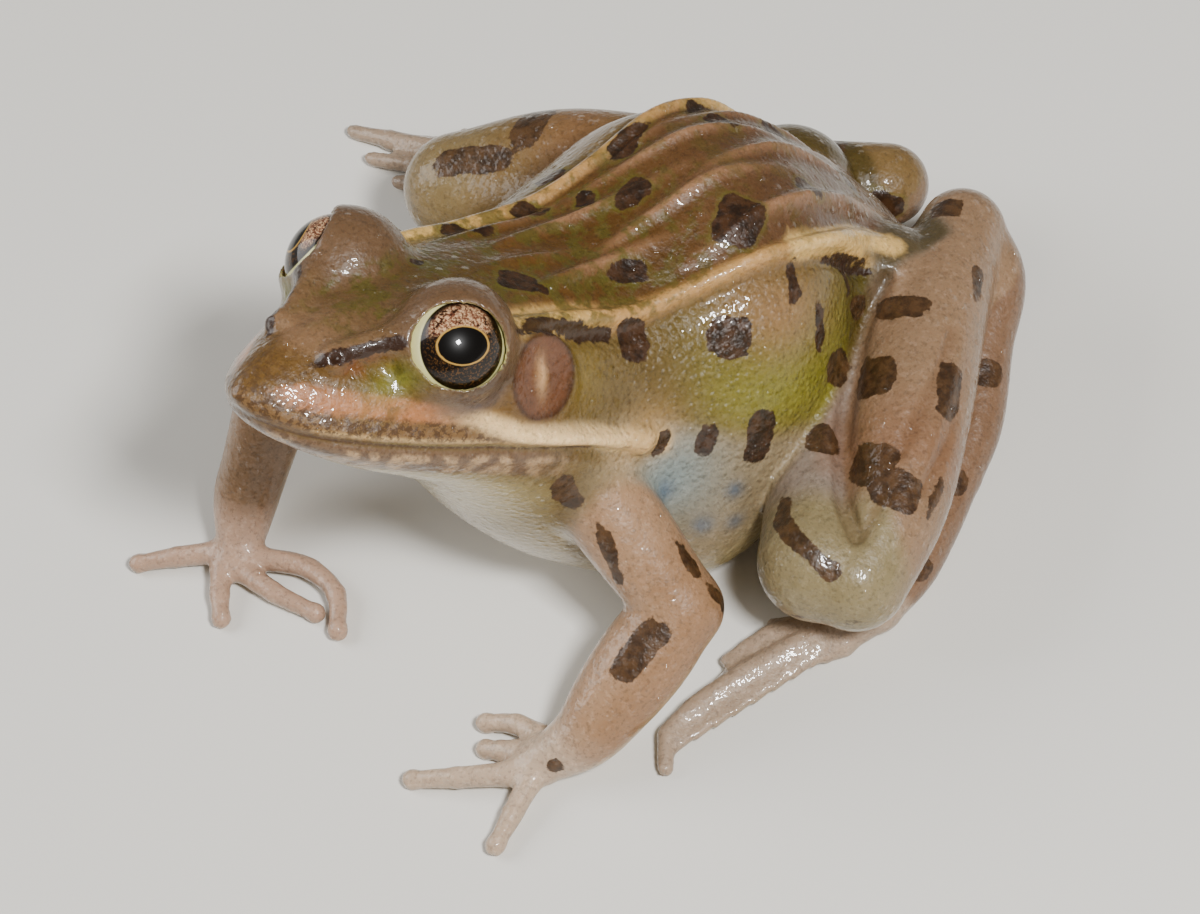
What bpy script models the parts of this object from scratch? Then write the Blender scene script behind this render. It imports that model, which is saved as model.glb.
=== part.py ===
# Southern leopard frog, life size, sitting with its head raised.
# The flesh is built as rounded clay forms on one grid of distances: a lofted body, arms, legs, digits, webs.
# Neighbouring forms share a narrow gap where they meet, and thin plates part them further at the joints.
# The frog faces -Y, its left side is +X and the floor is the plane z = 0. Sizes are in millimetres.
import math

import bmesh
import bpy
import numpy as np

for old in list(bpy.data.objects):
    bpy.data.objects.remove(old, do_unlink=True)

# Body

MILLIMETRE = 0.001
FOOTPRINT_MIDDLE = np.array([-10.14, 27.29, -0.02])
SNOUT_TO_VENT = 77.0
BODY_PITCH = math.radians(32.0)
SNOUT_TIP = np.array([0.0, -6.8, 48.2])
STATIONS = [0.0, 1.0, 3.0, 6.0, 10.0, 15.0, 20.0, 25.0, 30.0,
            36.0, 42.0, 48.0, 54.0, 60.0, 66.0, 71.0, 75.0, 77.0]
TOP_LINE = [-0.8, 0.6, 2.0, 3.5, 4.8, 5.8, 6.3, 6.4, 6.4, 7.0, 9.8, 13.4, 13.9, 11.8, 8.6, 5.2, 1.2, -3.0]
BOTTOM_LINE = [-0.8, -2.7, -4.5, -6.2, -8.0, -9.8, -12.2, -15.8, -20.0,
               -23.6, -25.4, -26.0, -24.8, -22.0, -18.2, -14.0, -9.5, -3.0]
HALF_WIDTH = [0.0, 2.1, 4.2, 6.5, 8.6, 10.6, 12.0, 12.8, 13.0,
              14.0, 16.2, 18.6, 17.8, 14.2, 10.8, 7.8, 4.6, 0.0]
WIDEST_LEVEL = [-0.8, -1.8, -2.4, -2.8, -3.2, -3.6, -4.0, -5.0, -7.0,
                -9.0, -10.2, -10.8, -10.2, -8.4, -6.6, -5.0, -3.6, -3.0]
UPPER_ROUND = [2.0, 1.9, 1.75, 1.6, 1.65, 1.85, 2.1, 2.2, 2.2, 2.2, 2.2, 2.2, 2.2, 2.1, 2.0, 2.0, 2.0, 2.0]
LOWER_ROUND = [2.0, 2.0, 2.1, 2.2, 2.2, 2.1, 2.0, 2.0, 2.1, 2.3, 2.5, 2.6, 2.5, 2.2, 2.0, 2.0, 2.0, 2.0]

# The head sits a little aside, and the hind part of the body is turned and rolled against it.
BEND_START = 26.0
BEND_END = 46.0
BEND_YAW = math.radians(9.5)
BEND_ROLL = math.radians(8.0)
ROLL_LEVEL = 4.0
HEAD_ASIDE = 0.6

# Mouth, lips and the cream fold along each side of the back

MOUTH_STATIONS = [-2.0, 0.0, 0.6, 3.7, 10.8, 15.3, 18.7, 28.2, 33.0]
MOUTH_LEVELS = [-1.3, -1.7, -2.2, -2.9, -3.4, -3.7, -3.9, -5.4, -6.3]
FOLD_STATIONS = [21.0, 25.0, 31.0, 38.7, 43.3, 46.0, 52.6, 58.0, 63.0, 68.0, 72.0]
FOLD_LEFT = [7.6, 7.8, 8.2, 9.2, 9.9, 10.4, 10.4, 9.2, 8.2, 7.0, 5.0]
FOLD_RIGHT = [7.4, 7.2, 6.6, 5.8, 6.8, 7.5, 8.6, 8.4, 7.6, 6.6, 5.0]
FOLD_HEIGHT = 0.9
FOLD_HALF_WIDTH = 0.8
MOUTH_DEPTH = 0.5
MOUTH_HALF_WIDTH = 0.4
LIP_HEIGHT = 0.22
RIDGE_STATIONS = [4.0, 6.0, 10.0, 15.0, 18.0, 21.0, 27.0, 33.0, 38.5]
RIDGE_LEVELS = [4.4, 4.4, 4.3, 3.4, 2.2, 1.5, 1.25, 1.1, 1.0]
RIDGE_HEIGHTS = [0.0, 0.1, 0.15, 0.25, 0.55, 0.9, 1.15, 1.2, 0.0]

# Eyes, ears and nostrils

EYE_CENTRE = (7.2, 16.4, 4.0)
EYE_LOOK = (0.70, -0.52, 0.46)
EYE_RADIUS = 4.4
LID_THICKNESS = 0.8
LID_HALF_LENGTH = 3.8
LID_HALF_HEIGHT = 3.4
EAR_CENTRE = (10.6, 23.0, 1.6)
EAR_FACE = (0.93, 0.03, 0.34)
EAR_RADIUS = 3.35
EAR_RIM = 0.35
EAR_DEPTH = 0.9
EAR_CUP = 0.35
EAR_DRUM_DEPTH = 1.0
EAR_CUP_HEIGHT = 4.0
BROW_FRONT = (3.0, 7.5, 2.9)
BROW_REAR = (5.0, 11.6, 4.5)
BROW_RADII = (1.0, 1.3)
BEHIND_EYE = (6.3, 18.0, 4.4)
BEHIND_EYE_RADIUS = 3.9
NOSTRIL = (3.3, 6.8, 2.7)
NOSTRIL_RIM_RADIUS = 1.15
NOSTRIL_RADIUS = 0.5
GLAND = (13.6, 36.6, -5.4)
GLAND_RADIUS = 1.5

# Thickness of arms, legs and digits

UPPER_ARM_RADII = [4.2, 4.0, 3.5]
THIGH_RADII = [6.0, 6.2, 5.6, 5.2]
TARSUS_RADII = [3.0, 2.9, 2.5, 2.4, 2.4]
SOLE_RADII = [2.4, 2.3, 2.2, 2.0]
FINGER_ROOT_RADII = (1.6, 1.15)
FINGER_RADII = (1.1, 0.8)
FINGER_JOINT_RADIUS = 0.95
TOE_ROOT_RADII = (1.7, 1.25)
TOE_RADII = (1.2, 0.8)
WEB_HALF_THICKNESS = 0.4
DIGIT_PIECES = 4

# Grid and fitting of the pieces

SPACE_LOW = (-56.0, -12.0, -1.5)
SPACE_HIGH = (37.0, 67.0, 53.0)
GRID_STEP = 0.42
FAR = 6.0
MARGIN = 1.5
JOINT_GAP = 0.32
NECK_STATION = 28.4
NECK_PLATE_RADIUS = 20.0
MOUTH_SHEET_REACH = 17.0
ELBOW_PLATE_RADIUS = 6.0
WRIST_PLATE_RADIUS = 4.2
FINGER_PLATE_RADIUS = 1.6
ANKLE_PLATE_RADIUS = 3.6
BODY_TRIANGLES = 4700
ARM_TRIANGLES = 1150
THIGH_TRIANGLES = 400
SHANK_TRIANGLES = 400
FOOT_TRIANGLES = 950


def smooth_curve(x, xs, ys):
    """A rounded line through the listed points."""
    xs = np.asarray(xs, float)
    ys = np.asarray(ys, float)
    width = np.diff(xs)
    slope = np.diff(ys) / width
    tangent = np.empty_like(ys)
    tangent[0] = slope[0]
    tangent[-1] = slope[-1]
    tangent[1:-1] = (slope[:-1] * width[1:] + slope[1:] * width[:-1]) / (width[1:] + width[:-1])
    i = np.clip(np.searchsorted(xs, x) - 1, 0, len(xs) - 2)
    h = xs[i + 1] - xs[i]
    t = np.clip((x - xs[i]) / h, 0.0, 1.0)
    t2 = t * t
    t3 = t2 * t
    start = (2 * t3 - 3 * t2 + 1) * ys[i] + (t3 - 2 * t2 + t) * h * tangent[i]
    end = (3 * t2 - 2 * t3) * ys[i + 1] + (t3 - t2) * h * tangent[i + 1]
    return start + end


def ease(x, start, end):
    """0 before start, 1 after end, and smooth between them."""
    t = np.clip((x - start) / (end - start), 0.0, 1.0)
    return t * t * (3 - 2 * t)


def bend(left, back, up):
    """A place along the straight head, moved on to the turned and rolled hind body."""
    span = BEND_END - BEND_START
    t = np.clip((back - BEND_START) / span, 0.0, 1.0)
    ramp = t * t * (3 - 2 * t)
    shift = span * (t ** 3 - 0.5 * t ** 4) + np.maximum(back - BEND_END, 0.0)
    slope = math.tan(BEND_YAW)
    turned = left - slope * shift - HEAD_ASIDE * (1 - ramp)
    c, s = np.cos(BEND_ROLL * ramp), np.sin(BEND_ROLL * ramp)
    rise = up - ROLL_LEVEL
    return turned * c - rise * s, back + slope * ramp * turned, turned * s + rise * c + ROLL_LEVEL


def body_place(points):
    """Left, back and up of each point, measured along the bent body from the snout tip."""
    p = np.asarray(points, float) - SNOUT_TIP
    c, s = math.cos(BODY_PITCH), math.sin(BODY_PITCH)
    return bend(p[..., 0], p[..., 1] * c - p[..., 2] * s, p[..., 1] * s + p[..., 2] * c)


def on_body(left, back, up):
    """World place of a point given along the bent body."""
    want = np.array([left, back, up], float)
    guess = want.copy()
    for _ in range(30):
        guess = guess + (want - np.array(bend(guess[0], guess[1], guess[2])))
    c, s = math.cos(BODY_PITCH), math.sin(BODY_PITCH)
    return SNOUT_TIP + np.array([guess[0], guess[1] * c + guess[2] * s, guess[2] * c - guess[1] * s])


def body_direction(left, back, up):
    """World direction of one given in the frame of the head."""
    c, s = math.cos(BODY_PITCH), math.sin(BODY_PITCH)
    d = np.array([left, back * c + up * s, up * c - back * s])
    return d / np.linalg.norm(d)


def turn_angle(back):
    return np.arccos(np.clip(1.0 - 2.0 * np.asarray(back, float) / SNOUT_TO_VENT, -1.0, 1.0))


LOFT_STEPS = 800
LOFT_ANGLES = np.linspace(0.0, math.pi, LOFT_STEPS + 1)
LOFT = {name: smooth_curve(LOFT_ANGLES, turn_angle(STATIONS), table) for name, table in (
    ("top", TOP_LINE), ("bottom", BOTTOM_LINE), ("half", HALF_WIDTH), ("middle", WIDEST_LEVEL),
    ("upper", UPPER_ROUND), ("lower", LOWER_ROUND))}


def loft(angle, name):
    """The value of one of the body's tables at a turn angle."""
    step = angle * (LOFT_STEPS / math.pi)
    first = np.minimum(step.astype(np.int32), LOFT_STEPS - 1)
    part = step - first
    return LOFT[name][first] * (1 - part) + LOFT[name][first + 1] * part


def section(left, back, up):
    """Distance to the smooth trunk, and the place of each point round its section."""
    held = np.clip(back, 0.03, SNOUT_TO_VENT - 0.03)
    angle = turn_angle(held)
    middle = loft(angle, "middle")
    rise = up - middle
    above = rise > 0
    power = np.where(above, loft(angle, "upper"), loft(angle, "lower"))
    reach = np.maximum(np.where(above, loft(angle, "top") - middle, middle - loft(angle, "bottom")), 0.05)
    across = left / np.maximum(loft(angle, "half"), 0.05)
    lift = rise / reach
    ratio = np.maximum((np.abs(across) ** power + np.abs(lift) ** power) ** (1.0 / power), 1e-3)
    radius = np.sqrt(left * left + rise * rise)
    distance = np.where(radius < 1e-3, -reach, radius * (1.0 - 1.0 / ratio))
    beyond = np.abs(back - held)
    distance = np.where(beyond > 0, np.sqrt(np.maximum(distance, 0) ** 2 + beyond ** 2), distance)
    return distance, np.arctan2(across, lift), radius


def fold_distance(back, turn, radius):
    """Distance round the section from the cream fold along each side of the back, positive below it."""
    angle = turn_angle(np.clip(back, 1.0, SNOUT_TO_VENT - 1.0))
    on_left = smooth_curve(back, FOLD_STATIONS, FOLD_LEFT)
    on_right = smooth_curve(back, FOLD_STATIONS, FOLD_RIGHT)
    line = np.where(turn > 0, on_left, on_right)
    across = np.clip(line / loft(angle, "half"), 0.05, 0.97)
    power = loft(angle, "upper")
    lift = (1.0 - across ** power) ** (1.0 / power)
    return (np.abs(turn) - np.arctan2(across, lift)) * radius


def trunk_relief(left, back, up, turn, radius):
    """Height of the folds and lips that stand on the smooth trunk."""
    height = np.zeros_like(left)
    fold = fold_distance(back, turn, radius)
    present = ease(back, 20.5, 24.0) * (1 - ease(back, 69.0, 72.0))
    height += FOLD_HEIGHT * present * np.exp(-(fold / FOLD_HALF_WIDTH) ** 4)
    height -= 0.25 * present * np.exp(-((fold - 1.7) / 0.7) ** 2)
    over = up - np.interp(back, MOUTH_STATIONS, MOUTH_LEVELS)
    mouth = 1 - ease(back, 30.0, 33.0)
    height -= MOUTH_DEPTH * mouth * np.exp(-(over / MOUTH_HALF_WIDTH) ** 2)
    height += LIP_HEIGHT * mouth * np.exp(-((over - 0.95) / 0.6) ** 2)
    height += LIP_HEIGHT * mouth * np.exp(-((over + 1.1) / 0.8) ** 2)
    ridge = over - np.interp(back, RIDGE_STATIONS, RIDGE_LEVELS)
    crest = np.exp(-(ridge / 0.85) ** 2) * (np.abs(turn) > 0.5)
    height += np.interp(back, RIDGE_STATIONS, RIDGE_HEIGHTS) * crest
    return height


def trunk(points):
    left, back, up = body_place(points)
    distance, turn, radius = section(left, back, up)
    close = np.abs(distance) < 3.0
    distance[close] -= trunk_relief(left[close], back[close], up[close], turn[close], radius[close])
    return distance


# Simple forms: each is a distance function with the two corners of its box

def taper(start, end, start_radius, end_radius):
    a, b = np.asarray(start, float), np.asarray(end, float)
    axis = b - a
    square = float(axis @ axis)

    def distance(p):
        q = p - a
        t = np.clip((q @ axis) / square, 0.0, 1.0)
        q = q - t[..., None] * axis
        return np.sqrt((q * q).sum(-1)) - (start_radius + (end_radius - start_radius) * t)

    low = np.minimum(a - start_radius, b - end_radius)
    high = np.maximum(a + start_radius, b + end_radius)
    return distance, low, high


def strand(points, radii, pieces=6):
    """A limb of changing thickness along a smooth line through the points."""
    points = np.array([np.asarray(p, float) for p in points])
    marks = np.concatenate([[0.0], np.cumsum(np.linalg.norm(np.diff(points, axis=0), axis=1))])
    where = np.linspace(0.0, marks[-1], pieces * (len(points) - 1) + 1)
    line = np.stack([smooth_curve(where, marks, points[:, k]) for k in range(3)], -1)
    thick = smooth_curve(where, marks, radii)
    parts = [taper(line[i], line[i + 1], thick[i], thick[i + 1]) for i in range(len(where) - 1)]

    def distance(p):
        nearest = parts[0][0](p)
        for part in parts[1:]:
            nearest = np.minimum(nearest, part[0](p))
        return nearest

    return distance, np.min([part[1] for part in parts], axis=0), np.max([part[2] for part in parts], axis=0)


def ball(centre, radius):
    c = np.asarray(centre, float)

    def distance(p):
        return np.sqrt(((p - c) ** 2).sum(-1)) - radius

    return distance, c - radius, c + radius


def disc(centre, face, radius, half_thickness):
    """A round plate."""
    c = np.asarray(centre, float)

    def distance(p):
        q = p - c
        along = q @ face
        across = np.sqrt(np.maximum((q * q).sum(-1) - along * along, 0.0)) - radius
        over = np.abs(along) - half_thickness
        return np.sqrt(np.maximum(across, 0.0) ** 2 + np.maximum(over, 0.0) ** 2) + np.minimum(
            np.maximum(across, over), 0.0)

    reach = radius + half_thickness
    return distance, c - reach, c + reach


def web(a, b, c, half_thickness):
    """A thin three-cornered skin."""
    a, b, c = (np.asarray(v, float) for v in (a, b, c))
    ab, bc, ca = b - a, c - b, a - c
    normal = np.cross(ab, ca)

    def side(edge, q):
        return np.sign(q @ np.cross(edge, normal))

    def to_edge(edge, q):
        t = np.clip((q @ edge) / float(edge @ edge), 0, 1)
        w = q - t[..., None] * edge
        return (w * w).sum(-1)

    def distance(p):
        pa, pb, pc = p - a, p - b, p - c
        inside = side(ab, pa) + side(bc, pb) + side(ca, pc)
        rim = np.minimum(np.minimum(to_edge(ab, pa), to_edge(bc, pb)), to_edge(ca, pc))
        flat = (pa @ normal) ** 2 / float(normal @ normal)
        return np.sqrt(np.where(np.abs(inside) >= 2.0, flat, rim)) - half_thickness

    low = np.minimum(np.minimum(a, b), c) - half_thickness
    high = np.maximum(np.maximum(a, b), c) + half_thickness
    return distance, low, high


class Clay:
    """The space round the frog, holding the distance to one form at every point of a grid."""

    def __init__(self):
        low, high = np.array(SPACE_LOW), np.array(SPACE_HIGH)
        self.count = np.ceil((high - low) / GRID_STEP).astype(int) + 1
        self.rows = [low[k] + GRID_STEP * np.arange(self.count[k]) for k in range(3)]
        self.value = np.full(self.count, FAR, np.float32)

    def near(self, low, high, margin):
        first = [int(np.searchsorted(r, low[k] - margin)) for k, r in enumerate(self.rows)]
        last = [int(np.searchsorted(r, high[k] + margin)) for k, r in enumerate(self.rows)]
        levels = [r[a:b] for r, a, b in zip(self.rows, first, last)]
        points = np.stack(np.meshgrid(*levels, indexing="ij"), -1)
        return tuple(slice(a, b) for a, b in zip(first, last)), points

    def join(self, form, blend, soft=None):
        """Add a form, rounding the crease by the blend, or by more near the soft place."""
        distance, low, high = form
        width = blend if soft is None else max(blend, soft[2])
        place, points = self.near(low, high, width + MARGIN)
        if soft is not None:
            centre, reach, most = soft
            apart = ((points - centre) ** 2).sum(-1)
            width = blend + (most - blend) * np.exp(-apart / reach ** 2)
        new = distance(points)
        old = self.value[place]
        mix = np.clip(0.5 + 0.5 * (old - new) / width, 0.0, 1.0)
        self.value[place] = old * (1 - mix) + new * mix - width * mix * (1 - mix)

    def carve(self, form, blend):
        distance, low, high = form
        place, points = self.near(low, high, blend + MARGIN)
        new = -distance(points)
        old = self.value[place]
        mix = np.clip(0.5 - 0.5 * (old - new) / blend, 0.0, 1.0)
        self.value[place] = old * (1 - mix) + new * mix + blend * mix * (1 - mix)


def divide(clays):
    """Part forms that overlap half way between their skins, with the joint gap between them."""
    old = [clay.value for clay in clays]
    for k, clay in enumerate(clays):
        nearest = np.min([value for m, value in enumerate(old) if m != k], axis=0)
        clay.value = np.maximum(old[k], (old[k] - nearest + JOINT_GAP) / 2)


def surface(clay):
    """Closed triangles over the clay, by splitting each cell into six tetrahedra."""
    f = np.where(np.abs(clay.value) < 1e-4, 1e-4, clay.value).astype(np.float64)
    nx, ny, nz = f.shape
    flat = f.ravel()
    stride = np.array([ny * nz, nz, 1])
    corners = np.array([[i & 1, (i >> 1) & 1, (i >> 2) & 1] for i in range(8)])
    offset = corners @ stride
    inside = f < 0
    filled = np.zeros((nx - 1, ny - 1, nz - 1), np.int8)
    for c in corners:
        filled += inside[c[0]:nx - 1 + c[0], c[1]:ny - 1 + c[1], c[2]:nz - 1 + c[2]]
    cell = np.argwhere((filled > 0) & (filled < 8)) @ stride
    found = []

    def edge(a, b):
        return np.stack([np.minimum(a, b), np.maximum(a, b)], -1)

    for tetra in ((0, 1, 3, 7), (0, 3, 2, 7), (0, 2, 6, 7), (0, 6, 4, 7), (0, 4, 5, 7), (0, 5, 1, 7)):
        corner = [cell + offset[i] for i in tetra]
        low = [flat[c] < 0 for c in corner]
        total = low[0].astype(int) + low[1] + low[2] + low[3]
        for i in range(4):
            others = [j for j in range(4) if j != i]
            if i % 2:
                others = [others[0], others[2], others[1]]
            for want in (1, 3):
                mask = (total == want) & (low[i] == (want == 1))
                three = [edge(corner[i][mask], corner[j][mask]) for j in others]
                if want == 3:
                    three = [three[0], three[2], three[1]]
                found.append(np.stack(three, 1))
        for i, j in ((0, 1), (0, 2), (0, 3), (1, 2), (1, 3), (2, 3)):
            k, m = [x for x in range(4) if x not in (i, j)]
            mask = (total == 2) & low[i] & low[j]
            four = [edge(corner[i][mask], corner[k][mask]), edge(corner[i][mask], corner[m][mask]),
                    edge(corner[j][mask], corner[m][mask]), edge(corner[j][mask], corner[k][mask])]
            if (i + j) % 2 == 0:
                four = four[::-1]
            found.append(np.stack(four[:3], 1))
            found.append(np.stack([four[0], four[2], four[3]], 1))
    triangles = np.concatenate(found)
    size = flat.size + 1
    unique, index = np.unique((triangles[..., 0] * size + triangles[..., 1]).ravel(), return_inverse=True)
    a, b = unique // size, unique % size
    t = np.clip(flat[a] / (flat[a] - flat[b]), 0.06, 0.94)[:, None]

    def place(i):
        return np.stack([i // (ny * nz), (i // nz) % ny, i % nz], -1).astype(float)

    return (place(a) * (1 - t) + place(b) * t) * GRID_STEP + np.array(SPACE_LOW), index.reshape(-1, 3)


# Head details

def lid_opening(eye, look):
    """The oval gap between the lids, as a bar that leaves the eye along its look."""
    high = body_direction(0.0, 0.0, 1.0)
    high = high - look * (high @ look)
    high = high / np.linalg.norm(high)
    long = np.cross(look, high)

    def distance(p):
        q = p - eye
        ratio = np.sqrt((q @ long / LID_HALF_LENGTH) ** 2 + (q @ high / LID_HALF_HEIGHT) ** 2)
        return np.maximum((ratio - 1.0) * LID_HALF_HEIGHT, 0.8 - q @ look)

    reach = np.full(3, EYE_RADIUS + 2.5)
    return distance, eye - reach, eye + reach


def add_head_details(clay, s):
    """Lids, brow, nostril, gland and the rim of the ear on one side of the head."""
    eye = on_body(s * EYE_CENTRE[0], EYE_CENTRE[1], EYE_CENTRE[2])
    look = body_direction(s * EYE_LOOK[0], EYE_LOOK[1], EYE_LOOK[2])
    nostril = on_body(s * NOSTRIL[0], NOSTRIL[1], NOSTRIL[2])
    brow_front = on_body(s * BROW_FRONT[0], BROW_FRONT[1], BROW_FRONT[2])
    brow_rear = on_body(s * BROW_REAR[0], BROW_REAR[1], BROW_REAR[2])
    clay.join(taper(brow_front, brow_rear, *BROW_RADII), 1.2)
    clay.join(ball(eye, EYE_RADIUS + JOINT_GAP + LID_THICKNESS), 1.8)
    clay.join(ball(on_body(s * BEHIND_EYE[0], BEHIND_EYE[1], BEHIND_EYE[2]), BEHIND_EYE_RADIUS), 2.0)
    clay.join(ball(nostril, NOSTRIL_RIM_RADIUS), 0.8)
    opening = nostril + body_direction(s * 0.6, -0.2, 0.5) * (NOSTRIL_RIM_RADIUS - 0.05)
    clay.carve(ball(opening, NOSTRIL_RADIUS), 0.2)
    clay.join(ball(on_body(s * GLAND[0], GLAND[1], GLAND[2]), GLAND_RADIUS), 0.8)
    ear = on_body(s * EAR_CENTRE[0], EAR_CENTRE[1], EAR_CENTRE[2])
    face = body_direction(s * EAR_FACE[0], EAR_FACE[1], EAR_FACE[2])
    clay.join(disc(ear, face, EAR_RADIUS + EAR_RIM, EAR_DEPTH), 1.2)
    clay.carve(disc(ear + face * EAR_DEPTH, face, EAR_RADIUS, EAR_CUP), 0.25)
    clay.carve(ball(eye, EYE_RADIUS + JOINT_GAP), 0.1)
    clay.carve(lid_opening(eye, look), 0.25)


# Arms and legs, in world millimetres

LEFT = {
    "sign": 1,
    "shoulder": on_body(9.3, 33.4, -9.8),
    "elbow": np.array([20.2, 15.0, 10.7]),
    "wrist": np.array([18.5, 3.4, 3.9]),
    "palm": np.array([16.2, -0.4, 1.8]),
    "forearm_radii": [3.5, 4.0, 3.6, 3.0, 2.0],
    "fingers": [[(16.6, -2.6, 1.6), (17.7, -5.9, 1.3), (18.6, -8.9, 0.9)],
                [(14.5, -3.3, 1.6), (11.1, -6.3, 1.5), (7.6, -8.7, 0.8)],
                [(13.2, -1.2, 1.3), (11.9, -1.8, 1.1), (10.4, -2.4, 0.7)],
                [(13.9, 1.2, 1.6), (11.3, 0.9, 1.5), (8.5, -0.5, 0.9)]],
    "hip": on_body(7.5, 66.5, 2.0),
    "knee": np.array([26.2, 25.7, 10.6]),
    "thigh_bow": np.array([-0.6, -0.6, -2.2]),
    "shank": [(29.5, 26.8, 9.8), (28.1, 33.3, 11.2), (23.0, 40.8, 12.4),
              (17.2, 49.5, 13.4), (12.6, 58.9, 13.2)],
    "shank_radii": [4.6, 4.5, 5.4, 5.3, 3.9],
    "tarsus": [(13.4, 59.5, 12.0), (16.0, 58.6, 10.6), (19.7, 53.3, 8.0),
               (24.1, 46.3, 5.4), (25.3, 42.6, 4.6)],
    "sole": [(25.3, 42.6, 4.6), (27.2, 37.5, 3.6), (28.5, 33.1, 3.0), (28.6, 28.9, 2.4)],
    "toes": [[(27.2, 28.4, 1.5), (25.4, 27.0, 1.1), (24.0, 26.0, 0.9)],
             [(26.4, 26.6, 1.5), (23.6, 24.0, 1.1), (21.6, 22.6, 0.9)],
             [(25.8, 25.6, 1.6), (22.4, 21.4, 1.4), (21.0, 17.4, 0.9)],
             [(25.8, 23.8, 1.6), (23.9, 18.0, 1.5), (22.5, 11.7, 1.4), (22.5, 8.6, 1.2), (24.6, 6.0, 0.8)],
             [(28.2, 26.8, 1.5), (28.0, 24.8, 1.1), (27.4, 23.0, 0.9)]],
}
RIGHT = {
    "sign": -1,
    "shoulder": on_body(-9.3, 33.4, -9.8),
    "elbow": np.array([-24.6, 9.5, 15.3]),
    "wrist": np.array([-25.0, 1.8, 5.0]),
    "palm": np.array([-23.4, -1.6, 1.9]),
    "forearm_radii": [3.5, 3.4, 3.1, 3.0, 2.0],
    "fingers": [[(-25.0, -3.2, 1.7), (-27.8, -5.6, 1.4), (-30.7, -8.2, 0.8)],
                [(-23.2, -4.0, 1.7), (-21.4, -6.0, 1.4), (-19.6, -7.6, 0.8)],
                [(-21.6, -3.0, 1.6), (-17.5, -2.8, 1.4), (-13.0, -1.8, 0.8)],
                [(-21.2, -1.2, 1.8), (-16.4, 1.0, 1.6), (-12.6, 0.6, 1.4), (-9.8, -1.9, 0.9)]],
    "hip": on_body(-7.5, 66.5, 2.0),
    "knee": np.array([-30.0, 36.0, 11.6]),
    "thigh_bow": np.array([1.0, -1.2, -0.6]),
    "shank": [(-30.3, 35.9, 12.0), (-23.1, 42.8, 12.8), (-14.6, 48.5, 12.4),
              (-4.9, 55.5, 11.2), (1.0, 60.6, 10.2)],
    "shank_radii": [5.0, 5.6, 5.2, 4.1, 3.8],
    "tarsus": [(1.0, 60.6, 9.6), (-1.4, 61.6, 8.4), (-6.4, 60.4, 6.2),
               (-12.4, 58.4, 4.4), (-17.4, 56.4, 3.4)],
    "sole": [(-17.4, 56.4, 3.4), (-21.6, 54.2, 2.8), (-25.6, 51.8, 2.3), (-29.2, 49.6, 1.9)],
    "toes": [[(-30.0, 47.0, 1.5), (-33.5, 42.5, 1.1), (-36.0, 39.5, 0.9)],
             [(-31.0, 47.5, 1.5), (-38.0, 42.0, 1.1), (-45.0, 38.0, 0.9)],
             [(-32.0, 48.0, 1.5), (-40.5, 42.5, 1.3), (-49.4, 38.5, 0.9)],
             [(-32.5, 49.0, 1.6), (-42.4, 43.8, 1.5), (-49.4, 41.2, 1.2), (-53.6, 39.9, 0.8)],
             [(-31.5, 50.5, 1.5), (-38.0, 48.5, 1.2), (-44.0, 46.0, 0.9)]],
}


def bowed(start, end, bow, t):
    """A point on a limb that bows sideways between its two joints."""
    return start + (end - start) * t + bow * 4 * t * (1 - t)


def add_arm(clay, side):
    shoulder, elbow, wrist, palm = (side[k] for k in ("shoulder", "elbow", "wrist", "palm"))
    fore = wrist - elbow
    clay.join(strand([shoulder, (shoulder + elbow) / 2, elbow], UPPER_ARM_RADII), 0.5, (shoulder, 7.0, 2.2))
    forearm = [elbow, elbow + fore * 0.35, elbow + fore * 0.75, wrist, palm]
    clay.join(strand(forearm, side["forearm_radii"]), 0.8)
    for finger in side["fingers"]:
        clay.join(taper(palm, finger[0], *FINGER_ROOT_RADII), 0.7)
        clay.join(strand(finger, np.linspace(*FINGER_RADII, len(finger)), DIGIT_PIECES), 0.35)
        for joint in finger[1:]:
            clay.join(ball(joint, FINGER_JOINT_RADIUS), 0.3)


def add_thigh(clay, side):
    line = [bowed(side["hip"], side["knee"], side["thigh_bow"], t) for t in (0.0, 0.35, 0.7, 1.0)]
    clay.join(strand(line, THIGH_RADII), 0.5)


def add_shank(clay, side):
    clay.join(strand(side["shank"], side["shank_radii"]), 0.3)


def add_foot(clay, side):
    """Tarsus, sole, five toes and the webs between them."""
    clay.join(strand(side["tarsus"], TARSUS_RADII), 0.35)
    clay.join(strand(side["sole"], SOLE_RADII), 0.35)
    toes = [[np.array(p) for p in toe] for toe in side["toes"]]
    for toe in toes:
        clay.join(taper(side["sole"][-1], toe[0], *TOE_ROOT_RADII), 0.7)
        clay.join(strand(toe, np.linspace(*TOE_RADII, len(toe)), DIGIT_PIECES), 0.5)
    for first, second in zip(toes, toes[1:]):
        clay.join(web(first[0], first[-2], second[0], WEB_HALF_THICKNESS), 0.3)
        clay.join(web(first[-2], second[-2], second[0], WEB_HALF_THICKNESS), 0.3)


# Blender pieces

def make_object(name, points, faces, material=None):
    mesh = bpy.data.meshes.new(name)
    placed = (np.asarray(points, float) - FOOTPRINT_MIDDLE) * MILLIMETRE
    mesh.from_pydata(placed.tolist(), [], [tuple(int(i) for i in face) for face in faces])
    mesh.update()
    made = bpy.data.objects.new(name, mesh)
    bpy.context.collection.objects.link(made)
    if material is not None:
        mesh.materials.append(material)
    return made


def apply_modifiers(target):
    graph = bpy.context.evaluated_depsgraph_get()
    mesh = bpy.data.meshes.new_from_object(target.evaluated_get(graph))
    target.modifiers.clear()
    target.data = mesh


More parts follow.
